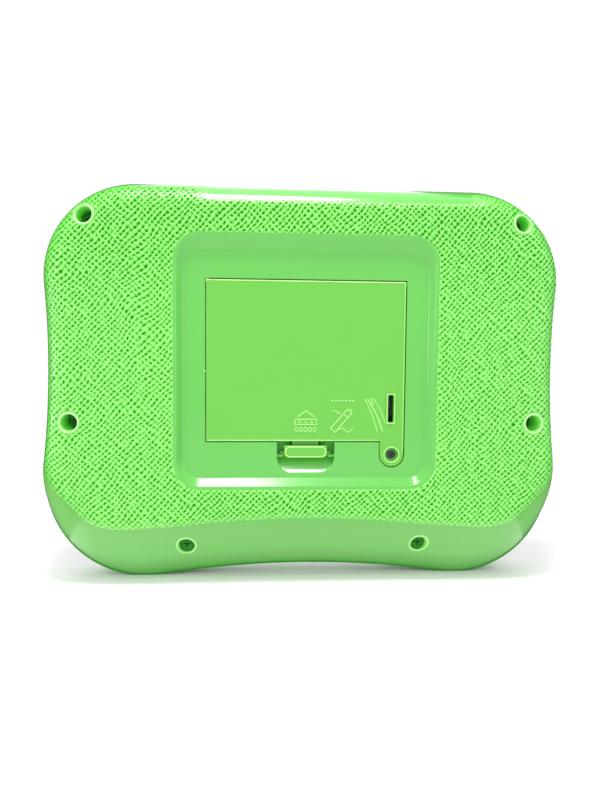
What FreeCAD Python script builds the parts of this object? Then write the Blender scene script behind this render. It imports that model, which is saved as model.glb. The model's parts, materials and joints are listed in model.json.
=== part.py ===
import FreeCAD, Part
import math
import os

# Child's learning tablet standing upright on its two lower lobes.
# Frame: X across the width, Z up, Y through the thickness; the battery side
# looks towards -Y and the play side towards +Y.  "depth" below is measured
# from the flat of the battery side towards the play side.

doc = FreeCAD.newDocument("LearningTablet")
sheet = doc.addObject("Spreadsheet::Sheet", "Dims")

CELLS = [
    # overall
    ("total_depth", 35.0), ("rim_depth", 18.0), ("shell_wall", 2.2), ("front_face", 33.0),
    ("front_inner", 30.8), ("gap_fit", 0.35),
    # outline of the parting rim
    ("upper_centre_x", 75.55), ("upper_centre_z", 137.85), ("upper_radius", 42.3),
    ("lower_side_x", 119.45), ("lower_radius", 45.75), ("waist_x", 116.4),
    ("arch_rise", 5.45), ("foot_drop", 0.25), ("roll_inset", 13.0),
    ("bevel_rise", 26.8), ("lower_inset", 13.0), ("lower_radius_back", 32.0),
    ("front_roll", 7.0), ("front_roll_start", 26.0),
    # recessed battery panel
    ("recess_depth", 3.0), ("recess_half", 54.85), ("recess_low", 48.9), ("recess_high", 149.8),
    ("recess_corner", 8.0), ("wall_run", 2.6), ("wall_run_top", 5.8), ("wall_run_low", 3.8),
    # battery door
    ("door_half", 44.65), ("door_low", 65.2), ("door_high", 137.2), ("door_thick", 2.4),
    ("door_corner", 1.2), ("hinge_radius", 0.8), ("hinge_reach", 1.8), ("hinge_clear", 0.06),
    ("ledge_drop", 0.3), ("tab_left", 33.9), ("tab_centre_z", 59.15), ("tab_radius", 5.5),
    ("tab_depth", 4.2), ("dish_radius", 3.25), ("dish_depth", 0.8), ("head_hole", 2.1),
    ("slot_x", 37.15), ("slot_z", 73.9), ("slot_wide", 2.6), ("slot_tall", 12.4),
    ("slot_rim", 0.9), ("slot_rise", 0.35),
    # bay
    ("bay_half", 41.5), ("bay_low", 68.0), ("bay_high", 130.6), ("bay_wall", 2.0), ("bay_floor", 21.5),
    ("cell_radius", 7.25), ("cell_length", 50.5), ("cell_pitch", 15.0), ("cell_first", 77.6),
    ("cell_depth", 14.25), ("nub_radius", 2.75), ("nub_length", 1.0), ("contact_face", 28.6),
    ("contact_thick", 0.5), ("partition_thick", 1.6), ("partition_top", 8.0),
    # scoop and latch
    ("scoop_half", 13.0), ("scoop_low", 50.8), ("scoop_radius", 12.6), ("scoop_axis_z", 60.6),
    ("scoop_axis_depth", -5.0), ("scoop_corner", 7.5), ("latch_half", 9.75), ("latch_low", 57.6),
    ("latch_high", 63.3), ("latch_top", 3.1), ("latch_thick", 1.6), ("stem_half", 6.0),
    ("stem_top", 5.75), ("stem_thick", 1.4), ("stem_high", 72.4), ("ear_half", 11.6),
    # screws and wells
    ("well_radius", 3.8), ("well_floor", 14.5), ("boss_radius", 5.7), ("front_boss", 5.0),
    ("well_top_x", 96.6), ("well_top_z", 163.45), ("well_mid_x", 103.8), ("well_mid_z", 73.8),
    ("well_low_x", 54.0), ("well_low_z", 16.3), ("screw_head", 3.0), ("screw_head_thick", 2.2),
    ("screw_shank", 1.5), ("screw_length", 10.0), ("shank_hole", 1.7),
    # board, screen, plate
    ("board_half", 86.0), ("board_low", 52.0), ("board_high", 160.0), ("board_back", 25.6),
    ("board_thick", 1.6), ("plate_half", 97.0), ("plate_low", 50.0), ("plate_high", 169.0),
    ("plate_corner", 26.0), ("plate_back", 32.0), ("plate_thick", 1.6), ("lens_half", 46.6),
    ("lens_low", 88.4), ("lens_high", 145.6), ("lens_thick", 1.4), ("lens_gap", 0.3),
    ("view_half", 44.0), ("view_low", 91.0), ("view_high", 143.0), ("display_half", 51.0),
    ("display_low", 85.0), ("display_high", 149.0), ("display_back", 28.0), ("display_thick", 2.4),
    # keys
    ("key_x", 72.0), ("key_first", 78.0), ("key_pitch", 24.0), ("key_wide", 18.0), ("key_tall", 16.0),
    ("key_corner", 4.5), ("key_front", 35.0), ("key_flange", 1.2), ("key_flange_back", 30.0),
    ("key_flange_thick", 0.5), ("key_clear", 0.35), ("dome_radius", 4.0), ("dome_front", 28.5),
    ("membrane_thick", 0.7), ("home_x", 0.0), ("home_z", 63.0), ("home_radius", 8.0),
    # sliders
    ("slider_x", 36.0), ("slider_z", 63.0), ("slider_wide", 7.0), ("slider_tall", 4.4), ("slider_travel", 4.0),
    ("slider_front", 34.9),
    # speaker
    ("speaker_x", 84.0), ("speaker_z", 34.0), ("speaker_radius", 14.0), ("speaker_depth", 7.0),
    ("magnet_radius", 8.0), ("magnet_depth", 4.0), ("grille_hole", 1.1), ("grille_pitch", 3.6),
    # light
    ("light_z", 78.5), ("light_radius", 1.5),
    ("wire_radius", 0.7),
]
for row, (alias, value) in enumerate(CELLS, start=1):
    sheet.set("A%d" % row, alias.replace("_", " "))
    sheet.set("B%d" % row, repr(value))
    sheet.setAlias("B%d" % row, alias)
doc.recompute()


class Q:
    """A length with its value and the sheet expression it comes from."""

    def __init__(self, value, expr):
        self.value = float(value)
        self.expr = expr

    @staticmethod
    def of(other):
        return other if isinstance(other, Q) else Q(other, "(%r)" % float(other))

    def __add__(self, other):
        other = Q.of(other)
        return Q(self.value + other.value, "(%s + %s)" % (self.expr, other.expr))

    __radd__ = __add__

    def __sub__(self, other):
        other = Q.of(other)
        return Q(self.value - other.value, "(%s - %s)" % (self.expr, other.expr))

    def __rsub__(self, other):
        return Q.of(other) - self

    def __mul__(self, other):
        other = Q.of(other)
        return Q(self.value * other.value, "(%s * %s)" % (self.expr, other.expr))

    __rmul__ = __mul__

    def __truediv__(self, other):
        other = Q.of(other)
        return Q(self.value / other.value, "(%s / %s)" % (self.expr, other.expr))

    def __neg__(self):
        return Q(-self.value, "(0 - %s)" % self.expr)


def D(alias):
    return Q(sheet.get(alias), "Dims.%s" % alias)


def N(alias):
    return float(sheet.get(alias))


HALF = D("total_depth") / 2


def bind(obj, prop, q):
    q = Q.of(q)
    obj.setExpression(prop, q.expr)


def place(obj, x, depth, z, rotation=None):
    x, depth, z = Q.of(x), Q.of(depth), Q.of(z)
    y = depth - HALF
    obj.Placement = FreeCAD.Placement(FreeCAD.Vector(x.value, y.value, z.value), rotation or FreeCAD.Rotation())
    bind(obj, "Placement.Base.x", x)
    bind(obj, "Placement.Base.y", y)
    bind(obj, "Placement.Base.z", z)


TO_DEPTH = FreeCAD.Rotation(FreeCAD.Vector(1, 0, 0), -90)   # local Z runs along +Y
TO_RIGHT = FreeCAD.Rotation(FreeCAD.Vector(0, 1, 0), 90)    # local Z runs along +X


# ---- Part helpers ----------------------------------------------------------
def box(name, x0, x1, d0, d1, z0, z1):
    x0, x1, d0, d1, z0, z1 = [Q.of(v) for v in (x0, x1, d0, d1, z0, z1)]
    o = doc.addObject("Part::Box", name)
    o.Length, o.Width, o.Height = x1.value - x0.value, d1.value - d0.value, z1.value - z0.value
    bind(o, "Length", x1 - x0)
    bind(o, "Width", d1 - d0)
    bind(o, "Height", z1 - z0)
    place(o, x0, d0, z0)
    return o


def soft_box(name, x0, x1, d0, d1, z0, z1, radius, axis="y"):
    b = box(name + "_blank", x0, x1, d0, d1, z0, z1)
    doc.recompute([b])
    want = {"x": (1, 0, 0), "y": (0, 1, 0), "z": (0, 0, 1)}[axis]
    edges = []
    for i, e in enumerate(b.Shape.Edges, start=1):
        t = e.Vertexes[1].Point - e.Vertexes[0].Point
        t.normalize()
        if abs(abs(t.dot(FreeCAD.Vector(*want))) - 1) < 1e-6:
            edges.append((i, radius, radius))
    o = doc.addObject("Part::Fillet", name)
    o.Base = b
    o.Edges = edges
    return o


def rod(name, x, z, d0, d1, radius):
    """Cylinder along the depth direction."""
    d0, d1 = Q.of(d0), Q.of(d1)
    o = doc.addObject("Part::Cylinder", name)
    o.Radius, o.Height = Q.of(radius).value, d1.value - d0.value
    bind(o, "Radius", radius)
    bind(o, "Height", d1 - d0)
    place(o, x, d0, z, TO_DEPTH)
    return o


def rod_x(name, x0, x1, depth, z, radius):
    """Cylinder along X."""
    x0, x1 = Q.of(x0), Q.of(x1)
    o = doc.addObject("Part::Cylinder", name)
    o.Radius, o.Height = Q.of(radius).value, x1.value - x0.value
    bind(o, "Radius", radius)
    bind(o, "Height", x1 - x0)
    place(o, x0, depth, z, TO_RIGHT)
    return o


def cone_x(name, x0, x1, depth, z, ra, rb):
    x0, x1 = Q.of(x0), Q.of(x1)
    o = doc.addObject("Part::Cone", name)
    o.Radius1, o.Radius2, o.Height = Q.of(ra).value, Q.of(rb).value, x1.value - x0.value
    bind(o, "Radius1", ra)
    bind(o, "Radius2", rb)
    bind(o, "Height", x1 - x0)
    place(o, x0, depth, z, TO_RIGHT)
    return o


def fuse(name, *shapes):
    o = doc.addObject("Part::MultiFuse", name)
    o.Shapes = list(shapes)
    return o


def common(name, *shapes):
    o = doc.addObject("Part::MultiCommon", name)
    o.Shapes = list(shapes)
    return o


def cut(name, base, tool):
    o = doc.addObject("Part::Cut", name)
    o.Base = base
    o.Tool = tool
    return o


def group(name, *shapes):
    o = doc.addObject("Part::Compound", name)
    o.Links = list(shapes)
    return o


def soften(name, base, picks):
    """Part::Fillet on base; picks is a list of (test on an edge, radius)."""
    doc.recompute()
    edges = []
    for i, e in enumerate(base.Shape.Edges, start=1):
        for test, radius in picks:
            if test(e):
                edges.append((i, radius, radius))
                break
    if not edges:
        raise RuntimeError("no edges to round for " + name)
    o = doc.addObject("Part::Fillet", name)
    o.Base = base
    o.Edges = edges
    doc.recompute()
    if o.Shape.isNull() or not o.Shape.isValid():
        raise RuntimeError("rounding failed for " + name)
    return o


def level(e, depth):
    """True when the edge lies in the plane at the given depth."""
    b = e.BoundBox
    half = N("total_depth") / 2
    return abs(b.YMin + half - depth) < 1e-3 and abs(b.YMax + half - depth) < 1e-3


# ---- PartDesign helpers ----------------------------------------------------
def body(name, x, depth, z, rotation=TO_DEPTH):
    b = doc.addObject("PartDesign::Body", name)
    place(b, x, depth, z, rotation)
    return b


def plane(b, role):
    return [f for f in b.Origin.OriginFeatures if f.Role == role][0]


def sketch(b, name, lift=None, role="XY_Plane"):
    s = b.newObject("Sketcher::SketchObject", name)
    s.AttachmentSupport = [(plane(b, role), "")]
    s.MapMode = "FlatFace"
    if lift is not None:
        s.AttachmentOffset = FreeCAD.Placement(FreeCAD.Vector(0, 0, Q.of(lift).value), FreeCAD.Rotation())
        bind(s, "AttachmentOffset.Base.z", lift)
    return s


def add_rect(s, w, h):
    import Sketcher
    w, h = Q.of(w), Q.of(h)
    a, c = w.value / 2, h.value / 2
    pts = [(-a, -c), (a, -c), (a, c), (-a, c)]
    base = s.GeometryCount
    for i in range(4):
        p, q = pts[i], pts[(i + 1) % 4]
        s.addGeometry(Part.LineSegment(FreeCAD.Vector(p[0], p[1], 0), FreeCAD.Vector(q[0], q[1], 0)), False)
    for i in range(4):
        s.addConstraint(Sketcher.Constraint("Coincident", base + i, 2, base + (i + 1) % 4, 1))
    s.addConstraint(Sketcher.Constraint("Horizontal", base))
    s.addConstraint(Sketcher.Constraint("Horizontal", base + 2))
    s.addConstraint(Sketcher.Constraint("Vertical", base + 1))
    s.addConstraint(Sketcher.Constraint("Vertical", base + 3))
    s.addConstraint(Sketcher.Constraint("Symmetric", base, 1, base + 1, 2, -1, 1))
    k = s.addConstraint(Sketcher.Constraint("DistanceX", base, 1, base, 2, w.value))
    s.setExpression("Constraints[%d]" % k, w.expr)
    k = s.addConstraint(Sketcher.Constraint("DistanceY", base + 1, 1, base + 1, 2, h.value))
    s.setExpression("Constraints[%d]" % k, h.expr)
    return s


def add_circle(s, r):
    import Sketcher
    r = Q.of(r)
    g = s.addGeometry(Part.Circle(FreeCAD.Vector(0, 0, 0), FreeCAD.Vector(0, 0, 1), r.value), False)
    s.addConstraint(Sketcher.Constraint("Coincident", g, 3, -1, 1))
    k = s.addConstraint(Sketcher.Constraint("Radius", g, r.value))
    s.setExpression("Constraints[%d]" % k, r.expr)
    return s


def pad(b, s, length, name):
    f = b.newObject("PartDesign::Pad", name)
    f.Profile = s
    f.Length = Q.of(length).value
    bind(f, "Length", length)
    doc.recompute()
    return f


def pocket(b, s, length, name, reverse=True):
    before = b.Shape.Volume
    f = b.newObject("PartDesign::Pocket", name)
    f.Profile = s
    f.Length = Q.of(length).value
    bind(f, "Length", length)
    f.Reversed = reverse
    doc.recompute()
    if not b.Shape.Volume < before - 1e-6:
        raise RuntimeError("pocket %s cut nothing" % name)
    return f


def round_edges(b, f, radius, test, name):
    names = ["Edge%d" % i for i, e in enumerate(f.Shape.Edges, start=1) if test(e)]
    if not names:
        raise RuntimeError("no edges for " + name)
    g = b.newObject("PartDesign::Fillet", name)
    g.Base = (f, names)
    g.Radius = Q.of(radius).value
    bind(g, "Radius", radius)
    doc.recompute()
    return g


def upright(e):
    if len(e.Vertexes) != 2 or not isinstance(e.Curve, Part.Line):
        return False
    t = e.Vertexes[1].Point - e.Vertexes[0].Point
    return abs(t.x) < 1e-6 and abs(t.y) < 1e-6


# ---- outline of the tablet -------------------------------------------------
def outline(depth, inset, low, low_inset=None, low_radius=None):
    """Closed dog-bone wire in the plane at the given depth.

    Straight top, round upper corners, hollow sides, round lower lobes and a
    shallow arch between them, all tangent.  inset pulls the top and sides
    in, low is the height of the lobes' lowest point."""
    y = depth - N("total_depth") / 2
    ux, uz, ru = N("upper_centre_x"), N("upper_centre_z"), N("upper_radius") - inset
    side = N("lower_side_x") - (inset if low_inset is None else low_inset)
    rl = N("lower_radius") - inset if low_radius is None else low_radius
    lx, lz = side - rl, low + rl
    top = uz + ru
    waist = min(N("waist_x") - inset, side - 1.0, ux + ru - 1.0)
    za = low + N("arch_rise")

    def spread(r):
        a = (r + ru) ** 2 - (r + waist - ux) ** 2
        c = (r + rl) ** 2 - (r + waist - lx) ** 2
        return math.sqrt(max(a, 0)) + math.sqrt(max(c, 0)) - (uz - lz), math.sqrt(max(a, 0))

    lo, hi = 20.0, 20000.0
    for _ in range(80):
        mid = (lo + hi) / 2
        if spread(mid)[0] > 0:
            hi = mid
        else:
            lo = mid
    rs = (lo + hi) / 2
    sx, sz = waist + rs, uz - spread(rs)[1]
    q = lz - za
    rb = (lx * lx + q * q - rl * rl) / (2 * (za - low))
    bz = za - rb

    def along(c, t, r):
        dx, dz = t[0] - c[0], t[1] - c[1]
        n = math.hypot(dx, dz)
        return (c[0] + dx / n * r, c[1] + dz / n * r)

    pu = along((ux, uz), (sx, sz), ru)
    pl = along((lx, lz), (sx, sz), rl)
    pb = along((lx, lz), (0, bz), rl)

    def middle(c, r, a, b):
        a0, a1 = math.atan2(a[1] - c[1], a[0] - c[0]), math.atan2(b[1] - c[1], b[0] - c[0])
        m = (a0 + a1) / 2
        return (c[0] + r * math.cos(m), c[1] + r * math.sin(m))

    mu = middle((ux, uz), ru, (ux, top), pu)
    ml = middle((lx, lz), rl, pl, pb)

    def v(p, flip=False):
        return FreeCAD.Vector(-p[0] if flip else p[0], y, p[1])

    def arc(a, m, b):
        return Part.Arc(a, m, b).toShape()

    e = [Part.LineSegment(v((-ux, top)), v((ux, top))).toShape(),
         arc(v((ux, top)), v(mu), v(pu)),
         arc(v(pu), v((waist, sz)), v(pl)),
         arc(v(pl), v(ml), v(pb)),
         arc(v(pb), v((0, za)), v(pb, True)),
         arc(v(pb, True), v(ml, True), v(pl, True)),
         arc(v(pl, True), v((waist, sz), True), v(pu, True)),
         arc(v(pu, True), v(mu, True), v((ux, top), True))]
    return Part.Wire(e)


def wire_feature(name, wire):
    o = doc.addObject("Part::Feature", name)
    o.Shape = wire
    o.Placement = FreeCAD.Placement()
    return o


def loft(name, wires, ruled=False):
    o = doc.addObject("Part::Loft", name)
    o.Sections = [wire_feature("%s_section_%d" % (name, i), w) for i, w in enumerate(wires)]
    o.Solid = True
    o.Ruled = ruled
    return o


RIM, ROLL, WALL = N("rim_depth"), N("roll_inset"), N("shell_wall")


def low_at(depth):
    return N("bevel_rise") * (1 - depth / RIM) - N("foot_drop")


def fade(depth):
    """Share of the back face's lower-corner shape left at a depth."""
    return max(0.0, 1 - depth / RIM)


def back_section(depth, inset, lift=0.0):
    k = fade(depth)
    li = inset + (N("lower_inset") - ROLL) * k
    lr = (N("lower_radius") - inset) * (1 - k) + N("lower_radius_back") * k
    return outline(depth, inset, low_at(depth) + lift, li, lr)


# the sides and top roll off as a quarter ellipse, flat at the back and upright at the parting rim
outer_sections = [back_section(0.0, ROLL)]
for deg in (12, 26, 42, 58, 74):
    a = math.radians(deg)
    outer_sections.append(back_section(RIM * (1 - math.cos(a)), ROLL * (1 - math.sin(a))))
outer_sections.append(back_section(RIM, 0.0))
rear_outer = loft("rear_outer", outer_sections)

lift = WALL * math.hypot(1, N("bevel_rise") / RIM)
inner_sections = [back_section(WALL, ROLL, lift)]
for deg in (30, 60):
    a = math.radians(deg)
    inner_sections.append(back_section(RIM - (RIM - WALL) * math.cos(a), ROLL - (ROLL - WALL) * math.sin(a), lift))
inner_sections.append(back_section(RIM, WALL, lift))
rear_inner = loft("rear_inner", inner_sections)
rear_hollow = cut("rear_hollow", rear_outer, rear_inner)

# pads behind the sunk panel, the door seat, the scoop and the screw tab
RD = D("recess_depth")
seat = RD + D("door_thick") + D("ledge_drop")          # depth of the ledge the door closes on
gap = D("gap_fit")
pan = soft_box("pan", -(D("recess_half") + 4.6), D("recess_half") + 4.6, WALL, RD + WALL,
               D("recess_low") - 6.0, D("recess_high") + 8.0, 12.0)
seat_pad = box("seat_pad", -(D("door_half") + 3.2), D("door_half") + 3.2, WALL, seat + 2.0,
               D("door_low") - 2.6, D("door_high") + 2.6)
bay_outer = box("bay_outer", -(D("bay_half") + D("bay_wall")), D("bay_half") + D("bay_wall"), RD + 1.0,
                D("bay_floor") + D("bay_wall"), D("bay_low") - D("bay_wall"), D("bay_high") + D("bay_wall"))
scoop_pad = soft_box("scoop_pad", -(D("scoop_half") + 2.2), D("scoop_half") + 2.2, WALL, 10.8,
                     D("scoop_low") - 2.0, D("bay_low"), 5.0)
tab_x = D("door_half") - D("tab_radius")
tab_pad = soft_box("tab_pad", D("tab_left") - 3.0, D("door_half") + 3.2, WALL, 13.0,
                   D("tab_centre_z") - D("tab_radius") - 2.6, D("bay_low"), 4.0)

WELLS = []
for sx in (-1, 1):
    WELLS += [(sx * D("well_top_x"), D("well_top_z")), (sx * D("well_mid_x"), D("well_mid_z")),
              (sx * D("well_low_x"), D("well_low_z"))]
bosses = fuse("rear_bosses_long", *[rod("rear_boss_%d" % i, x, z, 1.0, D("rim_depth"), D("boss_radius"))
                                    for i, (x, z) in enumerate(WELLS)])
bosses_in = common("rear_bosses", bosses, rear_outer)
rear_solid = fuse("rear_solid", rear_hollow, pan, seat_pad, bay_outer, scoop_pad, tab_pad, bosses_in)


def rounded(depth, half, low, high, r):
    y = depth - N("total_depth") / 2
    c = r * (1 - math.sqrt(0.5))

    def v(x, z):
        return FreeCAD.Vector(x, y, z)

    e = [Part.LineSegment(v(-half + r, low), v(half - r, low)).toShape(),
         Part.Arc(v(half - r, low), v(half - c, low + c), v(half, low + r)).toShape(),
         Part.LineSegment(v(half, low + r), v(half, high - r)).toShape(),
         Part.Arc(v(half, high - r), v(half - c, high - c), v(half - r, high)).toShape(),
         Part.LineSegment(v(half - r, high), v(-half + r, high)).toShape(),
         Part.Arc(v(-half + r, high), v(-half + c, high - c), v(-half, high - r)).toShape(),
         Part.LineSegment(v(-half, high - r), v(-half, low + r)).toShape(),
         Part.Arc(v(-half, low + r), v(-half + c, low + c), v(-half + r, low)).toShape()]
    return Part.Wire(e)


def recess_wire(depth):
    k = 1 - depth / N("recess_depth")
    return rounded(depth, N("recess_half") + N("wall_run") * k, N("recess_low") - N("wall_run_low") * k,
                   N("recess_high") + N("wall_run_top") * k, N("recess_corner") + 3.0 * k)


recess = loft("recess", [recess_wire(N("recess_depth")), recess_wire(-0.8)], ruled=True)
door_open = soft_box("door_open", -(D("door_half") + gap), D("door_half") + gap, 0.5, seat,
                     D("door_low") - gap, D("door_high") + gap, 0.5)
tab_slot_round = rod("tab_slot_round", tab_x, D("tab_centre_z"), 0.5, RD + D("tab_depth") + gap, D("tab_radius") + gap)
tab_slot_run = box("tab_slot_run", tab_x - D("tab_radius") - gap, tab_x + D("tab_radius") + gap, 0.5,
                   RD + D("tab_depth") + gap, D("tab_centre_z"), D("door_low") + 0.5)
tab_clip_room = rod("tab_clip_room", tab_x, D("tab_centre_z"), 6.0, 9.0, 2.8)
tab_thread = rod("tab_thread", tab_x, D("tab_centre_z"), 8.0, 12.0, 1.65)
bay_in = box("bay_in", -D("bay_half"), D("bay_half"), RD, D("bay_floor"), D("bay_low"), D("bay_high"))
pivot_z = D("door_high") - D("door_thick") / 2
pivot_d = RD + D("door_thick") / 2
sockets = rod_x("sockets", -(D("door_half") + D("hinge_reach") + 0.3), D("door_half") + D("hinge_reach") + 0.3,
                pivot_d, pivot_z, D("hinge_radius") + D("hinge_clear"))
scoop_roll = rod_x("scoop_roll", -(D("scoop_half") + 1), D("scoop_half") + 1, D("scoop_axis_depth"),
                   D("scoop_axis_z"), D("scoop_radius"))
scoop_form = soft_box("scoop_form", -D("scoop_half"), D("scoop_half"), 0.5, 9.5, D("scoop_low"), 80.0,
                      N("scoop_corner"))
scoop_trim = box("scoop_trim", -20, 20, 0.0, 12.0, 40.0, D("bay_low") - 1.6)
scoop = common("scoop", scoop_roll, scoop_form, scoop_trim)
stem_gate = box("stem_gate", -(D("stem_half") + 0.9), D("stem_half") + 0.9, RD, 8.9, 58.5, D("bay_low") + 0.5)
wells = fuse("wells", *[rod("well_%d" % i, x, z, -1.0, D("well_floor"), D("well_radius")) for i, (x, z) in enumerate(WELLS)])
shank_holes = fuse("shank_holes", *[rod("shank_hole_%d" % i, x, z, 10.0, D("rim_depth") + 1, D("shank_hole"))
                                    for i, (x, z) in enumerate(WELLS)])
WIRES = [(36.0, D("cell_first") + 15.0), (36.0, D("cell_first") + 30.0)]
wire_holes = fuse("wire_holes", *[rod("wire_hole_%d" % i, x, z, 19.0, 25.0, 1.1) for i, (x, z) in enumerate(WIRES)])
foot_trim = box("foot_trim", -130, 130, -5, 40, -10, 0)
rear_cuts = fuse("rear_cuts", recess, door_open, tab_slot_round, tab_slot_run, tab_clip_room, tab_thread, bay_in,
                 sockets, scoop, stem_gate, wells, shank_holes, wire_holes, foot_trim)
rear_open = cut("rear_open", rear_solid, rear_cuts)

# walls inside the bay that hold the contacts, low ribs between the cells,
# and the two small lugs that the latch's ears hook under
adds = []
cf, ct, pt = D("contact_face"), D("contact_thick"), D("partition_thick")
for side in (-1, 1):
    a, c = cf + ct, cf + ct + pt
    x0, x1 = (a, c) if side > 0 else (-c, -a)
    wall = box("partition_%s" % ("right" if side > 0 else "left"), x0, x1, D("partition_top"), D("bay_floor") + 0.5,
               D("bay_low") - 0.5, D("bay_high") + 0.5)
    if side > 0:
        notch = fuse("wire_notches", *[box("wire_notch_%d" % i, x0 - 1, x1 + 1, D("partition_top") - 1, 12.2, z - 1.3, z + 1.3)
                                       for i, (_, z) in enumerate(WIRES)])
        wall = cut("partition_notched", wall, notch)
    adds.append(wall)
for i in range(3):
    zc = D("cell_first") + D("cell_pitch") * (i + 0.5)
    adds.append(box("cell_rib_%d" % i, -24.0, 24.0, 18.6, D("bay_floor") + 0.5, zc - 0.8, zc + 0.8))
for side in (-1, 1):
    x0, x1 = (D("latch_half") + 0.5, D("scoop_half") + 0.5) if side > 0 else (-D("scoop_half") - 0.5, -D("latch_half") - 0.5)
    adds.append(box("latch_lug_%s" % ("right" if side > 0 else "left"), x0, x1, 4.6, 5.5, 57.9, 59.1))
rear_sharp = fuse("rear_sharp", rear_open, *adds)


def recess_lip(e):
    b = e.BoundBox
    return level(e, 0.0) and abs(b.XMin) < 59 and abs(b.XMax) < 59 and b.ZMin > 44 and b.ZMax < 157


def recess_foot(e):
    c = e.CenterOfMass
    edge = abs(c.x) > 54 or c.z > 149 or c.z < 49.3 or (abs(c.x) > 50 and (c.z < 53 or c.z > 145))
    return level(e, N("recess_depth")) and edge


rear_shell = soften("rear_shell", rear_sharp, [(recess_lip, 0.9), (recess_foot, 0.8)])

# ---- front shell -----------------------------------------------------------
FR, FS, FF = N("front_roll"), N("front_roll_start"), N("front_face")
foot = -N("foot_drop")
fo = [outline(RIM, 0.0, foot), outline((RIM + FS) / 2, 0.0, foot), outline(FS, 0.0, foot)]
for deg in (25, 48, 70):
    a = math.radians(deg)
    fo.append(outline(FS + FR * math.sin(a), FR * (1 - math.cos(a)), foot + FR * (1 - math.cos(a))))
fo.append(outline(FF, FR, foot + FR))
front_outer = loft("front_outer", fo)
fi_r = N("front_inner") - FS
fi = [outline(RIM - 1.0, WALL, foot + WALL), outline(FS, WALL, foot + WALL)]
for deg in (35, 65):
    a = math.radians(deg)
    k = (FR - WALL) * (1 - math.cos(a))
    fi.append(outline(FS + fi_r * math.sin(a), WALL + k, foot + WALL + k))
fi.append(outline(N("front_inner"), FR, foot + FR))
front_inner = loft("front_inner_form", fi)
front_hollow = cut("front_hollow", front_outer, front_inner)
front_bosses = common("front_bosses", fuse("front_bosses_long", *[
    rod("front_boss_%d" % i, x, z, D("rim_depth"), D("front_inner") + 1.0, D("front_boss")) for i, (x, z) in enumerate(WELLS)]),
    front_outer)
POSTS = [(-58.0, 154.5), (58.0, 154.5), (-58.0, 57.5), (58.0, 57.5)]
board_front = D("board_back") + D("board_thick")
posts = [rod("board_post_%d" % i, x, z, board_front, D("front_inner") + 0.5, 3.0) for i, (x, z) in enumerate(POSTS)]
spx, spz = -D("speaker_x"), D("speaker_z")
speaker_ring_out = rod("speaker_ring_out", spx, spz, D("front_inner") - 4.0, D("front_inner") + 0.5, D("speaker_radius") + 2.1)
speaker_ring_in = rod("speaker_ring_in", spx, spz, D("front_inner") - 5.0, D("front_inner"), D("speaker_radius") + 0.1)
speaker_ring = cut("speaker_ring", speaker_ring_out, speaker_ring_in)
front_solid = fuse("front_solid", front_hollow, front_bosses, speaker_ring, *posts)

plate_seat = soft_box("plate_seat", -(D("plate_half") + 0.15), D("plate_half") + 0.15, D("plate_back"), FF + 1,
                      D("plate_low") - 0.15, D("plate_high") + 0.15, N("plate_corner") + 0.15)
view_hole = soft_box("view_hole", -D("view_half"), D("view_half"), 29.0, FF + 1, D("view_low"), D("view_high"), 3.0)
KEYS = []
for side, label in ((-1, "left"), (1, "right")):
    for i in range(4):
        KEYS.append((label, i + 1, side * D("key_x"), D("key_first") + D("key_pitch") * (3 - i)))
kc = D("key_clear")


def key_holes(prefix, d0, d1):
    out = []
    for label, n, x, z in KEYS:
        out.append(soft_box("%s_%s_%d" % (prefix, label, n), x - D("key_wide") / 2 - kc, x + D("key_wide") / 2 + kc,
                            d0, d1, z - D("key_tall") / 2 - kc, z + D("key_tall") / 2 + kc, N("key_corner") + N("key_clear")))
    out.append(rod(prefix + "_home", D("home_x"), D("home_z"), d0, d1, D("home_radius") + kc))
    for side, label in ((-1, "power"), (1, "volume")):
        x = side * D("slider_x")
        out.append(soft_box("%s_%s" % (prefix, label), x - D("slider_wide") / 2 - kc,
                            x + D("slider_wide") / 2 + D("slider_travel") + kc, d0, d1,
                            D("slider_z") - D("slider_tall") / 2 - kc, D("slider_z") + D("slider_tall") / 2 + kc, 1.4))
    out.append(rod(prefix + "_light", 0.0, D("light_z"), d0, d1, D("light_radius") + 0.05))
    return out


grille = []
n = 0
for ring in range(4):
    count = 1 if ring == 0 else 6 * ring
    for k in range(count):
        ang = 2 * math.pi * k / count
        n += 1
        grille.append(rod("grille_%d" % n, spx + D("grille_pitch") * (ring * math.cos(ang)),
                          spz + D("grille_pitch") * (ring * math.sin(ang)), 29.5, FF + 1, D("grille_hole")))
thread_holes = [rod("thread_hole_%d" % i, x, z, D("rim_depth") - 1, 26.6, D("screw_shank") + 0.05) for i, (x, z) in enumerate(WELLS)]
post_holes = [rod("post_hole_%d" % i, x, z, board_front - 1, board_front + 2.6, 1.05) for i, (x, z) in enumerate(POSTS)]
front_cuts = fuse("front_cuts", plate_seat, view_hole, foot_trim, *(key_holes("shell_hole", 29.0, FF + 1) + grille + thread_holes + post_holes))
front_shell = cut("front_shell", front_solid, front_cuts)

# ---- face plate and screen -------------------------------------------------
plate_blank = soft_box("plate_blank", -D("plate_half"), D("plate_half"), D("plate_back"), D("plate_back") + D("plate_thick"),
                       D("plate_low"), D("plate_high"), N("plate_corner"))
plate_window = soft_box("plate_window", -(D("lens_half") + D("lens_gap")), D("lens_half") + D("lens_gap"), 31.0, 35.0,
                        D("lens_low") - D("lens_gap"), D("lens_high") + D("lens_gap"), 4.3)
plate_cuts = fuse("plate_cuts", plate_window, *key_holes("plate_hole", 31.0, 35.0))
plate_sharp = cut("plate_sharp", plate_blank, plate_cuts)
face_plate = soften("face_plate", plate_sharp, [(lambda e: level(e, N("plate_back") + N("plate_thick")) and (
    abs(e.CenterOfMass.x) > 88 or e.CenterOfMass.z > 160 or e.CenterOfMass.z < 51.5), 0.5)])


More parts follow.
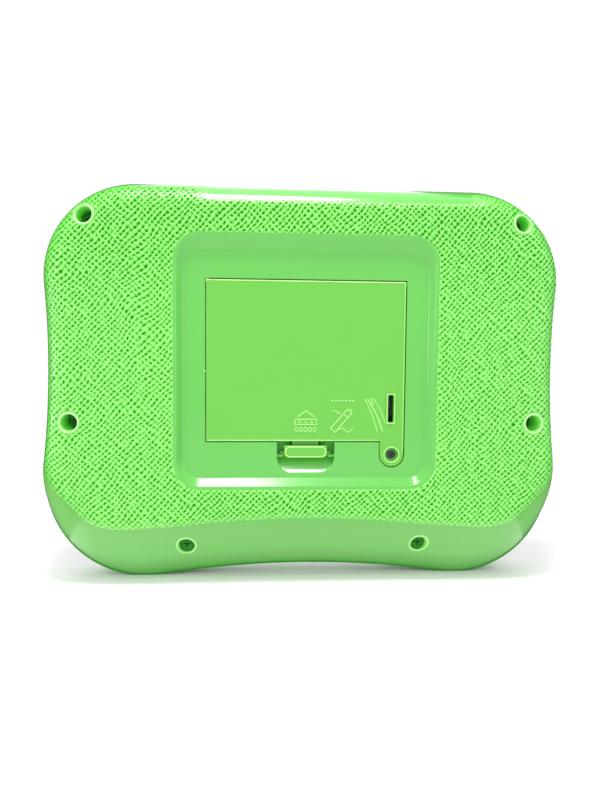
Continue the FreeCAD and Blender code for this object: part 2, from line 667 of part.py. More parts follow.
def slab(name, x0, x1, d0, d1, z0, z1, corner=None, edge=None):
    """Padded rectangle, with its corners and, if asked, its front edges rounded."""
    x0, x1, d0, d1, z0, z1 = [Q.of(v) for v in (x0, x1, d0, d1, z0, z1)]
    b = body(name, (x0 + x1) / 2, d0, (z0 + z1) / 2)
    s = add_rect(sketch(b, name + "_profile"), x1 - x0, z1 - z0)
    f = pad(b, s, d1 - d0, name + "_pad")
    if corner is not None:
        f = round_edges(b, f, corner, upright, name + "_corners")
    if edge is not None:
        high = (d1 - d0).value
        f = round_edges(b, f, edge, lambda e: all(abs(v.Point.z - high) < 1e-6 for v in e.Vertexes), name + "_edges")
    return b


def disc(name, x, z, d0, d1, r, edge=None):
    d0, d1 = Q.of(d0), Q.of(d1)
    b = body(name, x, d0, z)
    f = pad(b, add_circle(sketch(b, name + "_profile"), r), d1 - d0, name + "_pad")
    if edge is not None:
        high = (d1 - d0).value
        round_edges(b, f, edge, lambda e: all(abs(v.Point.z - high) < 1e-6 for v in e.Vertexes), name + "_edge")
    return b


screen_lens = slab("screen_lens", -D("lens_half"), D("lens_half"), D("plate_back"), D("plate_back") + D("lens_thick"),
                   D("lens_low"), D("lens_high"), corner=4.0, edge=0.3)
display_module = slab("display_module", -D("display_half"), D("display_half"), D("display_back"),
                      D("display_back") + D("display_thick"), D("display_low"), D("display_high"), corner=1.0)
display_pad = slab("display_pad", -44.0, 44.0, board_front, D("display_back"), 89.0, 145.0)
gasket_out = soft_box("gasket_out", -(D("display_half") - 1), D("display_half") - 1, D("display_back") + D("display_thick"),
                      D("front_inner"), D("display_low") + 1, D("display_high") - 1, 1.5)
gasket_in = soft_box("gasket_in", -(D("view_half") + 1), D("view_half") + 1, 28.0, 33.0, D("view_low") - 1, D("view_high") + 1, 2.0)
display_gasket = cut("display_gasket", gasket_out, gasket_in)

# ---- board and what sits on it ----------------------------------------------
board_blank = soft_box("board_blank", -D("board_half"), D("board_half"), D("board_back"), board_front, D("board_low"),
                       D("board_high"), 3.0)
board_holes = fuse("board_holes", *[rod("board_hole_%d" % i, x, z, 24.0, 29.0, 1.3) for i, (x, z) in enumerate(POSTS)])
main_board = cut("main_board", board_blank, board_holes)
controller_chip = slab("controller_chip", 60.0, 74.0, D("board_back") - 2.0, D("board_back"), 103.0, 117.0)
memory_chip = slab("memory_chip", 62.0, 72.0, D("board_back") - 1.6, D("board_back"), 84.0, 90.0)
capacitor = disc("capacitor", 64.0, 134.0, D("board_back") - 9.0, D("board_back"), 3.15)
crystal = slab("crystal", 60.0, 71.0, D("board_back") - 3.4, D("board_back"), 122.0, 126.0, corner=1.9)
status_light = disc("status_light", 0.0, D("light_z"), board_front, board_front + 1.9, 1.5)
light_pipe = disc("light_pipe", 0.0, D("light_z"), board_front + 2.0, D("plate_back") + D("plate_thick") + 0.4, D("light_radius"), edge=0.4)

mem = []
for side, label in ((-1, "left"), (1, "right")):
    x = side * D("key_x")
    base = slab("membrane_base_" + label, x - 9.0, x + 9.0, board_front, board_front + D("membrane_thick"),
                D("key_first") - 9.0, D("key_first") + D("key_pitch") * 3 + 9.0, corner=2.0)
    domes = [rod("dome_%s_%d" % (lb, k), kx, kz, board_front + D("membrane_thick") - 0.3, D("dome_front"), D("dome_radius"))
             for lb, k, kx, kz in KEYS if lb == label]
    mem.append(fuse("keypad_membrane_" + label, base, *domes))
home_dome = disc("home_dome", D("home_x"), D("home_z"), board_front, D("dome_front"), 6.0, edge=0.6)
for side, label in ((-1, "power"), (1, "volume")):
    x = side * D("slider_x")
    slab(label + "_switch_body", x - 6.0, x + 6.0 + D("slider_travel"), board_front, 29.6, D("slider_z") - 3.2, D("slider_z") + 3.2, corner=0.4)

# keys: flange behind the shell, cap through the shell and plate
for label, n, x, z in KEYS:
    b = body("key_%s_%d" % (label, n), x, D("key_flange_back"), z)
    f = pad(b, add_rect(sketch(b, "flange_%s_%d" % (label, n)), D("key_wide") + 2 * D("key_flange"), D("key_tall") + 2 * D("key_flange")),
            D("key_flange_thick"), "flange_pad_%s_%d" % (label, n))
    f = round_edges(b, f, D("key_corner") - 1.5, upright, "flange_round_%s_%d" % (label, n))
    f = pad(b, add_rect(sketch(b, "cap_%s_%d" % (label, n), lift=D("key_flange_thick") - 0.1), D("key_wide"), D("key_tall")),
            D("key_front") - D("key_flange_back") - D("key_flange_thick") + 0.1, "cap_pad_%s_%d" % (label, n))
    top = N("key_front") - N("key_flange_back")
    f = round_edges(b, f, D("key_corner"), lambda e: upright(e) and max(v.Point.z for v in e.Vertexes) > top - 1e-6,
                    "cap_round_%s_%d" % (label, n))
    f = round_edges(b, f, 1.0, lambda e: all(abs(v.Point.z - top) < 1e-6 for v in e.Vertexes), "cap_edge_%s_%d" % (label, n))
b = body("home_key", D("home_x"), D("key_flange_back"), D("home_z"))
pad(b, add_circle(sketch(b, "home_flange"), D("home_radius") + D("key_flange")), D("key_flange_thick"), "home_flange_pad")
f = pad(b, add_circle(sketch(b, "home_cap", lift=D("key_flange_thick") - 0.1), D("home_radius")),
        D("key_front") - D("key_flange_back") - D("key_flange_thick") + 0.1, "home_cap_pad")
top = N("key_front") - N("key_flange_back")
round_edges(b, f, 1.0, lambda e: all(abs(v.Point.z - top) < 1e-6 for v in e.Vertexes), "home_cap_edge")

for side, label in ((-1, "power"), (1, "volume")):
    x = side * D("slider_x")
    b = body(label + "_slider", x, D("key_flange_back"), D("slider_z"))
    pad(b, add_rect(sketch(b, label + "_shoe"), D("slider_wide") + 2.4, D("slider_tall") + 2.4), D("key_flange_thick"), label + "_shoe_pad")
    f = pad(b, add_rect(sketch(b, label + "_knob", lift=D("key_flange_thick") - 0.1), D("slider_wide"), D("slider_tall")),
            D("slider_front") - D("key_flange_back") - D("key_flange_thick") + 0.1, label + "_knob_pad")
    top = N("slider_front") - N("key_flange_back")
    f = round_edges(b, f, 1.0, lambda e: upright(e) and max(v.Point.z for v in e.Vertexes) > top - 1e-6, label + "_knob_round")
    s = sketch(b, label + "_grips", lift=Q.of(top))
    add_rect(s, 0.7, D("slider_tall") + 1.0)
    pocket(b, s, 0.4, label + "_grip_cut", reverse=False)

# ---- speaker ---------------------------------------------------------------
spk_front = D("front_inner")
spk_back = spk_front - D("speaker_depth")
frame_blank = rod("speaker_frame_blank", spx, spz, spk_back, spk_front, D("speaker_radius"))
frame_bowl = rod("speaker_frame_bowl", spx, spz, spk_back + 1.0, spk_front + 1, D("speaker_radius") - 1.5)
speaker_frame = cut("speaker_frame", frame_blank, frame_bowl)
speaker_magnet = disc("speaker_magnet", spx, spz, spk_back - D("magnet_depth"), spk_back, D("magnet_radius"))
cone_out = doc.addObject("Part::Cone", "speaker_cone_out")
cone_out.Radius1, cone_out.Radius2, cone_out.Height = 4.0, 12.2, 4.0
bind(cone_out, "Radius2", D("speaker_radius") - 1.8)
place(cone_out, spx, spk_back + 1.6, spz, TO_DEPTH)
cone_in = doc.addObject("Part::Cone", "speaker_cone_in")
cone_in.Radius1, cone_in.Radius2, cone_in.Height = 3.4, 11.8, 4.0
bind(cone_in, "Radius2", D("speaker_radius") - 2.4)
place(cone_in, spx, spk_back + 2.2, spz, TO_DEPTH)
speaker_cone = cut("speaker_cone", cone_out, cone_in)


def lead(name, points, radius, bend):
    """Round wire along straight runs joined by tangent arcs of one bend radius."""
    pts = [FreeCAD.Vector(p[0], p[1] - N("total_depth") / 2, p[2]) for p in points]
    edges, start, length = [], pts[0], 0.0
    for i in range(1, len(pts) - 1):
        a = (pts[i - 1] - pts[i]).normalize()
        c = (pts[i + 1] - pts[i]).normalize()
        p0, p1 = pts[i] + a * bend, pts[i] + c * bend
        m = pts[i] + (a + c) * bend - (a + c).normalize() * bend
        edges.append(Part.LineSegment(start, p0).toShape())
        edges.append(Part.Arc(p0, m, p1).toShape())
        start = p1
    edges.append(Part.LineSegment(start, pts[-1]).toShape())
    path = Part.Wire(edges)
    ring = Part.Wire([Part.Circle(pts[0], (pts[1] - pts[0]).normalize(), radius).toShape()])
    solid = path.makePipeShell([ring], True, False)
    length = sum(e.Length for e in edges)
    want = math.pi * radius ** 2 * length
    print(name, "length %.1f mm, bends %.1f mm, volume %.2f of %.2f" % (length, bend, solid.Volume, want))
    if abs(solid.Volume - want) > 0.02 * want:
        raise RuntimeError("lead volume " + name)
    o = doc.addObject("Part::Feature", name)
    o.Shape = solid
    o.Placement = FreeCAD.Placement()
    return o


wr = N("wire_radius")
bb = N("board_back")
zs = [N("cell_first") + 15.0, N("cell_first") + 30.0]
lead("battery_lead_positive", [(N("contact_face") + N("contact_thick"), 10.6, zs[0]), (36.0, 10.6, zs[0]), (36.0, bb, zs[0])], wr, 3.0)
lead("battery_lead_negative", [(N("contact_face") + N("contact_thick"), 10.6, zs[1]), (36.0, 10.6, zs[1]), (36.0, bb, zs[1])], wr, 3.0)
sb = N("front_inner") - N("speaker_depth")
lead("speaker_lead_a", [(-82.0, sb, 45.2), (-82.0, sb - 4.5, 45.2), (-82.0, sb - 4.5, 56.0), (-82.0, bb, 56.0)], wr, 3.0)
lead("speaker_lead_b", [(-79.0, sb, 44.8), (-79.0, sb - 4.5, 44.8), (-79.0, sb - 4.5, 56.0), (-79.0, bb, 56.0)], wr, 3.0)

# ---- battery cells and contacts ----------------------------------------------
springs, plates = [], []
for i in range(4):
    z = D("cell_first") + D("cell_pitch") * i
    right = i % 2 == 0                        # which side the positive end is on
    face = D("contact_face")
    if right:
        x1 = face
        x0 = face - D("cell_length")
        can = rod_x("cell_can_%d" % (i + 1), x0, x1 - D("nub_length"), D("cell_depth"), z, D("cell_radius"))
        nub = rod_x("cell_nub_%d" % (i + 1), x1 - D("nub_length") - 0.2, x1, D("cell_depth"), z, D("nub_radius"))
        springs.append(cone_x("spring_%d" % (i + 1), -face, x0, D("cell_depth"), z, 5.0, 3.4))
    else:
        x0 = -face
        x1 = D("cell_length") - face
        can = rod_x("cell_can_%d" % (i + 1), x0 + D("nub_length"), x1, D("cell_depth"), z, D("cell_radius"))
        nub = rod_x("cell_nub_%d" % (i + 1), x0, x0 + D("nub_length") + 0.2, D("cell_depth"), z, D("nub_radius"))
        springs.append(cone_x("spring_%d" % (i + 1), x1, face, D("cell_depth"), z, 3.4, 5.0))
    fuse("battery_cell_%d" % (i + 1), can, nub)
contact_springs = group("contact_springs", *springs)
a, c = D("contact_face"), D("contact_face") + D("contact_thick")
low = D("cell_first") - 6.0
for k, (x0, x1, z0, z1) in enumerate([
        (a, c, low, low + 12.0), (a, c, low + 15.0, low + 42.0), (a, c, low + 45.0, low + 57.0),
        (-c, -a, low, low + 27.0), (-c, -a, low + 30.0, low + 57.0)]):
    plates.append(box("contact_%d" % k, x0, x1, 8.6, 20.0, z0, z1))
contact_plates = group("contact_plates", *plates)

# ---- battery door -------------------------------------------------------------
dw, dt = D("door_half"), D("door_thick")
def door_profile():
    y = N("recess_depth") - N("total_depth") / 2
    w, low, high, r, tz = N("door_half"), N("door_low"), pivot_z.value, N("tab_radius"), N("tab_centre_z")
    tx = w - r

    def v(x, z):
        return FreeCAD.Vector(x, y, z)

    pts = [v(w, tz), v(w, high), v(-w, high), v(-w, low), v(tx - r, low), v(tx - r, tz)]
    edges = [Part.LineSegment(pts[i], pts[i + 1]).toShape() for i in range(5)]
    edges.append(Part.Arc(pts[5], v(tx, tz - r), pts[0]).toShape())
    return Part.Wire(edges)


panel_sharp = doc.addObject("Part::Extrusion", "door_panel_sharp")
panel_sharp.Base = wire_feature("door_panel_profile", door_profile())
panel_sharp.DirMode = "Custom"
panel_sharp.Dir = FreeCAD.Vector(0, 1, 0)
panel_sharp.LengthFwd = dt.value
bind(panel_sharp, "LengthFwd", dt)
panel_sharp.Solid = True
panel = soften("door_panel", panel_sharp, [(lambda e: level(e, N("recess_depth")) and e.CenterOfMass.z < pivot_z.value - 0.1, 0.45)])
knuckle = rod_x("door_knuckle", -dw, dw, pivot_d, pivot_z, dt / 2)
pins = rod_x("door_pins", -(dw + D("hinge_reach")), dw + D("hinge_reach"), pivot_d, pivot_z, D("hinge_radius"))
tab_boss = rod("door_tab_boss", tab_x, D("tab_centre_z"), RD + 1, RD + D("tab_depth"), D("tab_radius") - 0.3)
slot_rim = soft_box("slot_rim_block", D("slot_x") - D("slot_rim"), D("slot_x") + D("slot_wide") + D("slot_rim"),
                    RD - D("slot_rise"), RD + 1, D("slot_z") - D("slot_rim"), D("slot_z") + D("slot_tall") + D("slot_rim"), 1.6)
rails = []
for side in (-1, 1):
    lab = "right" if side > 0 else "left"
    a0, a1 = D("stem_half") + 0.4, D("stem_half") + 2.2
    l0 = D("stem_half") - 0.9
    x = (lambda u, v: (u, v)) if side > 0 else (lambda u, v: (-v, -u))
    rails.append(box("stem_rail_" + lab, *x(a0, a1), RD + dt - 0.2, 8.4, 68.6, 72.0))
    rails.append(box("stem_lip_" + lab, *x(l0, a1), 7.5, 8.4, 68.6, 72.0))
door_solid = fuse("door_solid", panel, knuckle, pins, tab_boss, slot_rim, *rails)
dish = rod("door_dish", tab_x, D("tab_centre_z"), RD - 1, RD + D("dish_depth"), D("dish_radius"))
head_well = rod("door_head_well", tab_x, D("tab_centre_z"), RD, RD + 3.0, D("head_hole"))
shank_well = rod("door_shank_well", tab_x, D("tab_centre_z"), RD, RD + 6.0, 1.15)
slot_cut = soft_box("slot_cut", D("slot_x"), D("slot_x") + D("slot_wide"), 0.5, 8.0, D("slot_z"), D("slot_z") + D("slot_tall"), 0.7)
battery_door = cut("battery_door", door_solid, fuse("door_cuts", dish, head_well, shank_well, slot_cut))

# ---- latch on the door ----------------------------------------------------------
lt, lk = D("latch_top"), D("latch_thick")
latch_plate = body("latch_plate", 0.0, lt, (D("latch_low") + D("latch_high")) / 2)
f = pad(latch_plate, add_rect(sketch(latch_plate, "latch_profile"), 2 * D("latch_half"), D("latch_high") - D("latch_low")), lk, "latch_pad")
f = round_edges(latch_plate, f, 2.2, lambda e: upright(e) and e.Vertexes[0].Point.y > 0, "latch_corners")
latch_web = box("latch_web", -D("stem_half"), D("stem_half"), lt + lk - 0.3, D("stem_top") + 0.5, 59.4, 61.6)
latch_stem = box("latch_stem", -D("stem_half"), D("stem_half"), D("stem_top"), D("stem_top") + D("stem_thick"), 59.4, D("stem_high"))
latch_ears = box("latch_ears", -D("ear_half"), D("ear_half"), D("stem_top") + 0.1, D("stem_top") + D("stem_thick") - 0.1, 58.2, 60.4)
latch_sharp = fuse("latch_sharp", latch_plate, latch_web, latch_stem, latch_ears)
door_latch = soften("door_latch", latch_sharp, [(lambda e: level(e, N("latch_top")), 0.6)])

# ---- screws -----------------------------------------------------------------------
def screw(name, x, z, seat_d, head_r, head_t, shank_r, length, cross):
    """Pan-head cross screw driven from the battery side; the head sits at seat_d."""
    seat_d = Q.of(seat_d)
    head = rod(name + "_head", x, z, seat_d - head_t, seat_d, head_r)
    shank = rod(name + "_shank", x, z, seat_d - 0.2, seat_d + length, shank_r)
    raw = fuse(name + "_raw", head, shank)
    arm = Q.of(cross)
    c1 = box(name + "_cross_a", x - arm, x + arm, seat_d - head_t - 1, seat_d - head_t * 0.45, z - 0.35, z + 0.35)
    c2 = box(name + "_cross_b", x - 0.35, x + 0.35, seat_d - head_t - 1, seat_d - head_t * 0.45, z - arm, z + arm)
    return cut(name, raw, fuse(name + "_cross", c1, c2))


case_screws = group("case_screws", *[screw("case_screw_%d" % i, x, z, D("well_floor"), D("screw_head"), D("screw_head_thick"),
                                           D("screw_shank"), D("screw_length"), 1.7) for i, (x, z) in enumerate(WELLS)])
board_screws = group("board_screws", *[screw("board_screw_%d" % i, Q.of(x), Q.of(z), D("board_back"), Q.of(2.2), Q.of(1.4), Q.of(1.0),
                                             Q.of(4.0), 1.2) for i, (x, z) in enumerate(POSTS)])
door_screw = screw("door_screw", tab_x, D("tab_centre_z"), RD + 2.95, Q.of(1.8), Q.of(1.5), Q.of(1.0), Q.of(4.9), 1.1)
ring_blank = rod("ring_blank", tab_x, D("tab_centre_z"), RD + D("tab_depth") + 0.3, RD + D("tab_depth") + 0.8, 2.0)
ring_hole = rod("ring_hole", tab_x, D("tab_centre_z"), RD + D("tab_depth"), RD + D("tab_depth") + 2, 1.0)
screw_retainer = cut("screw_retainer", ring_blank, ring_hole)

NODES = ["rear_shell", "front_shell", "face_plate", "screen_lens", "display_module", "display_pad", "display_gasket",
         "main_board", "controller_chip", "memory_chip", "capacitor", "crystal", "status_light", "light_pipe",
         "keypad_membrane_left", "keypad_membrane_right", "home_dome", "power_switch_body", "volume_switch_body",
         "power_slider", "volume_slider", "home_key", "speaker_frame", "speaker_magnet", "speaker_cone",
         "battery_lead_positive", "battery_lead_negative", "speaker_lead_a", "speaker_lead_b",
         "battery_cell_1", "battery_cell_2", "battery_cell_3", "battery_cell_4", "contact_springs", "contact_plates",
         "battery_door", "door_latch", "door_screw", "screw_retainer", "case_screws", "board_screws"]
NODES += ["key_%s_%d" % (label, n) for label, n, x, z in KEYS]

doc.recompute()
bad = [o.Name for o in doc.Objects if "Invalid" in o.State or "Error" in o.State]
if bad:
    raise RuntimeError("objects failed: " + ", ".join(bad))
os.makedirs("parts", exist_ok=True)
for name in NODES:
    o = doc.getObject(name)
    o.Label = name
    shape = o.Shape
    if shape.isNull() or not shape.isValid() or not shape.Solids:
        raise RuntimeError("bad shape: %s null %s" % (name, shape.isNull()))
    bb_ = shape.optimalBoundingBox(False)
    print("%-24s solids %2d vol %9.1f  x %.1f..%.1f y %.1f..%.1f z %.1f..%.1f" % (
        name, len(shape.Solids), shape.Volume, bb_.XMin, bb_.XMax, bb_.YMin, bb_.YMax, bb_.ZMin, bb_.ZMax))
    shape.exportStep(os.path.join("parts", name + ".step"))
print(len(NODES), "nodes written")
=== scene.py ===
import json
import math
import random

import bmesh
import bpy
import numpy as np
from mathutils import Matrix, Vector
from mathutils.bvhtree import BVHTree


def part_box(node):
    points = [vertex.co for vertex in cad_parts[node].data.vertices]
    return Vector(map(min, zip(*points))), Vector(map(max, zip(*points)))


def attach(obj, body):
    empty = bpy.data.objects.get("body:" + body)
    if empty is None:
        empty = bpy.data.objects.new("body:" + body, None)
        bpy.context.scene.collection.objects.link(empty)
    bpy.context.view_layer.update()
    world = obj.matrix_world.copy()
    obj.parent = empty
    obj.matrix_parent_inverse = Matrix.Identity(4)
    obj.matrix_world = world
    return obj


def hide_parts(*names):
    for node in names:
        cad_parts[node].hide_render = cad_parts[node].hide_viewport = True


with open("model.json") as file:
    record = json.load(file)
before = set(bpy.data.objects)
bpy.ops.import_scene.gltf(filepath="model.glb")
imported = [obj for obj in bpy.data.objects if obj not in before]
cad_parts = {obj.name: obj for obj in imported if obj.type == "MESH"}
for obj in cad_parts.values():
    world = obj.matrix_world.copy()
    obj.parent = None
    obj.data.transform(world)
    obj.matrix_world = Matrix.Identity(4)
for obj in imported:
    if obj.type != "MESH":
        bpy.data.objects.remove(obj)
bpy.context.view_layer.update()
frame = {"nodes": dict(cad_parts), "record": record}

NODES = frame["nodes"]
MM = 0.001
BACK = float(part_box("rear_shell")[0].y) / MM        # flat of the battery side, mm
FRONT = float(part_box("face_plate")[1].y) / MM       # face plate's front, mm
scene = bpy.context.scene
scene.view_settings.view_transform = "Standard"
scene.view_settings.look = "None"
rng = random.Random(7)


# ---------------------------------------------------------------- materials
def new_material(name):
    m = bpy.data.materials.new(name)
    m.use_nodes = True
    nt = m.node_tree
    for n in list(nt.nodes):
        nt.nodes.remove(n)
    out = nt.nodes.new("ShaderNodeOutputMaterial")
    p = nt.nodes.new("ShaderNodeBsdfPrincipled")
    nt.links.new(p.outputs[0], out.inputs[0])
    return m, nt, p


def noise(nt, scale, detail=3.0, rough=0.5, coord="Object"):
    tc = nt.nodes.new("ShaderNodeTexCoord")
    n = nt.nodes.new("ShaderNodeTexNoise")
    n.inputs["Scale"].default_value = scale
    n.inputs["Detail"].default_value = detail
    n.inputs["Roughness"].default_value = rough
    nt.links.new(tc.outputs[coord], n.inputs["Vector"])
    return n


def ramp(nt, src, stops):
    r = nt.nodes.new("ShaderNodeValToRGB")
    e = r.color_ramp.elements
    while len(e) > 1:
        e.remove(e[-1])
    e[0].position, e[0].color = stops[0][0], (*stops[0][1], 1)
    for pos, col in stops[1:]:
        k = e.new(pos)
        k.color = (*col, 1)
    nt.links.new(src, r.inputs[0])
    return r


def spread(nt, src, lo, hi):
    m = nt.nodes.new("ShaderNodeMapRange")
    m.inputs["From Min"].default_value = 0.3
    m.inputs["From Max"].default_value = 0.7
    m.inputs["To Min"].default_value = lo
    m.inputs["To Max"].default_value = hi
    nt.links.new(src, m.inputs["Value"])
    return m


def tint(c, k):
    return tuple(min(1.0, max(0.0, v * k)) for v in c)


def plastic(name, color, rough=0.38, vary=0.05, grain=2600.0, bump=0.08, coat=0.0, blotch=28.0, cavity=None, specular=0.5, sss=0.0,
            foot=None, pocket=None):
    """Moulded plastic: slight colour drift, uneven sheen and a fine skin."""
    m, nt, p = new_material(name)
    big = noise(nt, blotch, 4.0, 0.55)
    col = ramp(nt, big.outputs["Fac"], [(0.28, tint(color, 1 - vary)), (0.52, color), (0.75, tint(color, 1 + vary))])
    last = col.outputs[0]
    if cavity is not None:
        at = nt.nodes.new("ShaderNodeAttribute")
        at.attribute_name = "cavity"
        mix = nt.nodes.new("ShaderNodeMix")
        mix.data_type = "RGBA"
        mix.inputs["B"].default_value = (*cavity, 1)
        nt.links.new(at.outputs["Fac"], mix.inputs["Factor"])
        nt.links.new(last, mix.inputs["A"])
        last = mix.outputs["Result"]
    if foot is not None:
        # painted light: paler green low down on the battery side, standing in for light bounced up from the floor;
        # the coat is duller there too
        tc = nt.nodes.new("ShaderNodeTexCoord")
        sx = nt.nodes.new("ShaderNodeSeparateXYZ")
        nt.links.new(tc.outputs["Object"], sx.inputs[0])
        away = nt.nodes.new("ShaderNodeMath")
        away.operation = "ABSOLUTE"
        nt.links.new(sx.outputs[0], away.inputs[0])
        turn = nt.nodes.new("ShaderNodeMapRange")
        turn.inputs["From Min"].default_value = 0.096
        turn.inputs["From Max"].default_value = 0.118
        turn.inputs["To Max"].default_value = 0.022
        nt.links.new(away.outputs[0], turn.inputs["Value"])
        drop = nt.nodes.new("ShaderNodeMath")
        drop.operation = "SUBTRACT"
        nt.links.new(sx.outputs[2], drop.inputs[0])
        nt.links.new(turn.outputs[0], drop.inputs[1])
        high = nt.nodes.new("ShaderNodeMapRange")
        high.inputs["From Min"].default_value = 0.036
        high.inputs["From Max"].default_value = 0.0
        nt.links.new(drop.outputs[0], high.inputs["Value"])
        back = nt.nodes.new("ShaderNodeMapRange")           # battery side only
        back.inputs["From Min"].default_value = 0.0005
        back.inputs["From Max"].default_value = -0.0060
        nt.links.new(sx.outputs[1], back.inputs["Value"])
        low = nt.nodes.new("ShaderNodeMath")
        low.operation = "MULTIPLY"
        nt.links.new(high.outputs[0], low.inputs[0])
        nt.links.new(back.outputs[0], low.inputs[1])
        dull = nt.nodes.new("ShaderNodeMapRange")
        dull.inputs["From Min"].default_value = 0.12
        dull.inputs["From Max"].default_value = 0.26
        dull.inputs["To Max"].default_value = 0.72
        nt.links.new(low.outputs[0], dull.inputs["Value"])
        painted_bounce = ramp(nt, low.outputs[0], [(0.0, color), (0.14, color), (0.26, foot[0]), (0.85, foot[1])])
        mul = nt.nodes.new("ShaderNodeMix")
        mul.data_type = "RGBA"
        mul.inputs["Factor"].default_value = 0.85
        nt.links.new(last, mul.inputs["A"])
        nt.links.new(painted_bounce.outputs[0], mul.inputs["B"])
        last = mul.outputs["Result"]
    nt.links.new(last, p.inputs["Base Color"])
    sheen = noise(nt, blotch * 7.0, 5.0, 0.6)
    nt.links.new(spread(nt, sheen.outputs["Fac"], rough * 0.86, rough * 1.14).outputs[0], p.inputs["Roughness"])
    fine = noise(nt, grain, 2.0, 0.5)
    b = nt.nodes.new("ShaderNodeBump")
    b.inputs["Strength"].default_value = bump
    b.inputs["Distance"].default_value = 0.0002
    nt.links.new(fine.outputs["Fac"], b.inputs["Height"])
    nt.links.new(b.outputs[0], p.inputs["Normal"])
    p.inputs["Specular IOR Level"].default_value = specular
    if coat:
        p.inputs["Coat Weight"].default_value = coat
        p.inputs["Coat Roughness"].default_value = 0.16
    if pocket is not None:
        # matt, with painted shade: a darker green inside the latch pocket
        tc = nt.nodes.new("ShaderNodeTexCoord")
        sx = nt.nodes.new("ShaderNodeSeparateXYZ")
        nt.links.new(tc.outputs["Object"], sx.inputs[0])
        side = nt.nodes.new("ShaderNodeMath")
        side.operation = "ABSOLUTE"
        nt.links.new(sx.outputs[0], side.inputs[0])
        inside = None
        for src, a_, b_ in ((side.outputs[0], 0.0165, 0.0155), (sx.outputs[2], 0.0535, 0.0560), (sx.outputs[2], 0.0655, 0.0645),
                            (sx.outputs[1], -0.0140, -0.0118)):
            mr = nt.nodes.new("ShaderNodeMapRange")
            mr.inputs["From Min"].default_value = a_
            mr.inputs["From Max"].default_value = b_
            nt.links.new(src, mr.inputs["Value"])
            if inside is None:
                inside = mr.outputs[0]
            else:
                both = nt.nodes.new("ShaderNodeMath")
                both.operation = "MULTIPLY"
                nt.links.new(inside, both.inputs[0])
                nt.links.new(mr.outputs[0], both.inputs[1])
                inside = both.outputs[0]
        mix = nt.nodes.new("ShaderNodeMix")
        mix.data_type = "RGBA"
        mix.inputs["B"].default_value = (*pocket, 1)
        nt.links.new(inside, mix.inputs["Factor"])
        nt.links.new(last, mix.inputs["A"])
        nt.links.new(mix.outputs["Result"], p.inputs["Base Color"])
        if foot is not None:
            most = nt.nodes.new("ShaderNodeMath")
            most.operation = "MAXIMUM"
            nt.links.new(inside, most.inputs[0])
            nt.links.new(dull.outputs[0], most.inputs[1])
            inside = most.outputs[0]
        for sock, on in (("Coat Weight", coat), ("Specular IOR Level", specular)):
            mr = nt.nodes.new("ShaderNodeMapRange")
            mr.inputs["To Min"].default_value = on
            mr.inputs["To Max"].default_value = 0.12
            nt.links.new(inside, mr.inputs["Value"])
            nt.links.new(mr.outputs[0], p.inputs[sock])
    if sss:
        p.inputs["Subsurface Weight"].default_value = sss
        p.inputs["Subsurface Radius"].default_value = (0.0015, 0.003, 0.001)
    return m


def metal(name, color, rough=0.3, scratch=900.0, bump=0.05):
    m, nt, p = new_material(name)
    n = noise(nt, scratch, 4.0, 0.6)
    col = ramp(nt, n.outputs["Fac"], [(0.3, tint(color, 0.82)), (0.7, tint(color, 1.08))])
    nt.links.new(col.outputs[0], p.inputs["Base Color"])
    nt.links.new(spread(nt, n.outputs["Fac"], rough * 0.75, rough * 1.3).outputs[0], p.inputs["Roughness"])
    p.inputs["Metallic"].default_value = 1.0
    b = nt.nodes.new("ShaderNodeBump")
    b.inputs["Strength"].default_value = bump
    b.inputs["Distance"].default_value = 0.0001
    nt.links.new(n.outputs["Fac"], b.inputs["Height"])
    nt.links.new(b.outputs[0], p.inputs["Normal"])
    return m


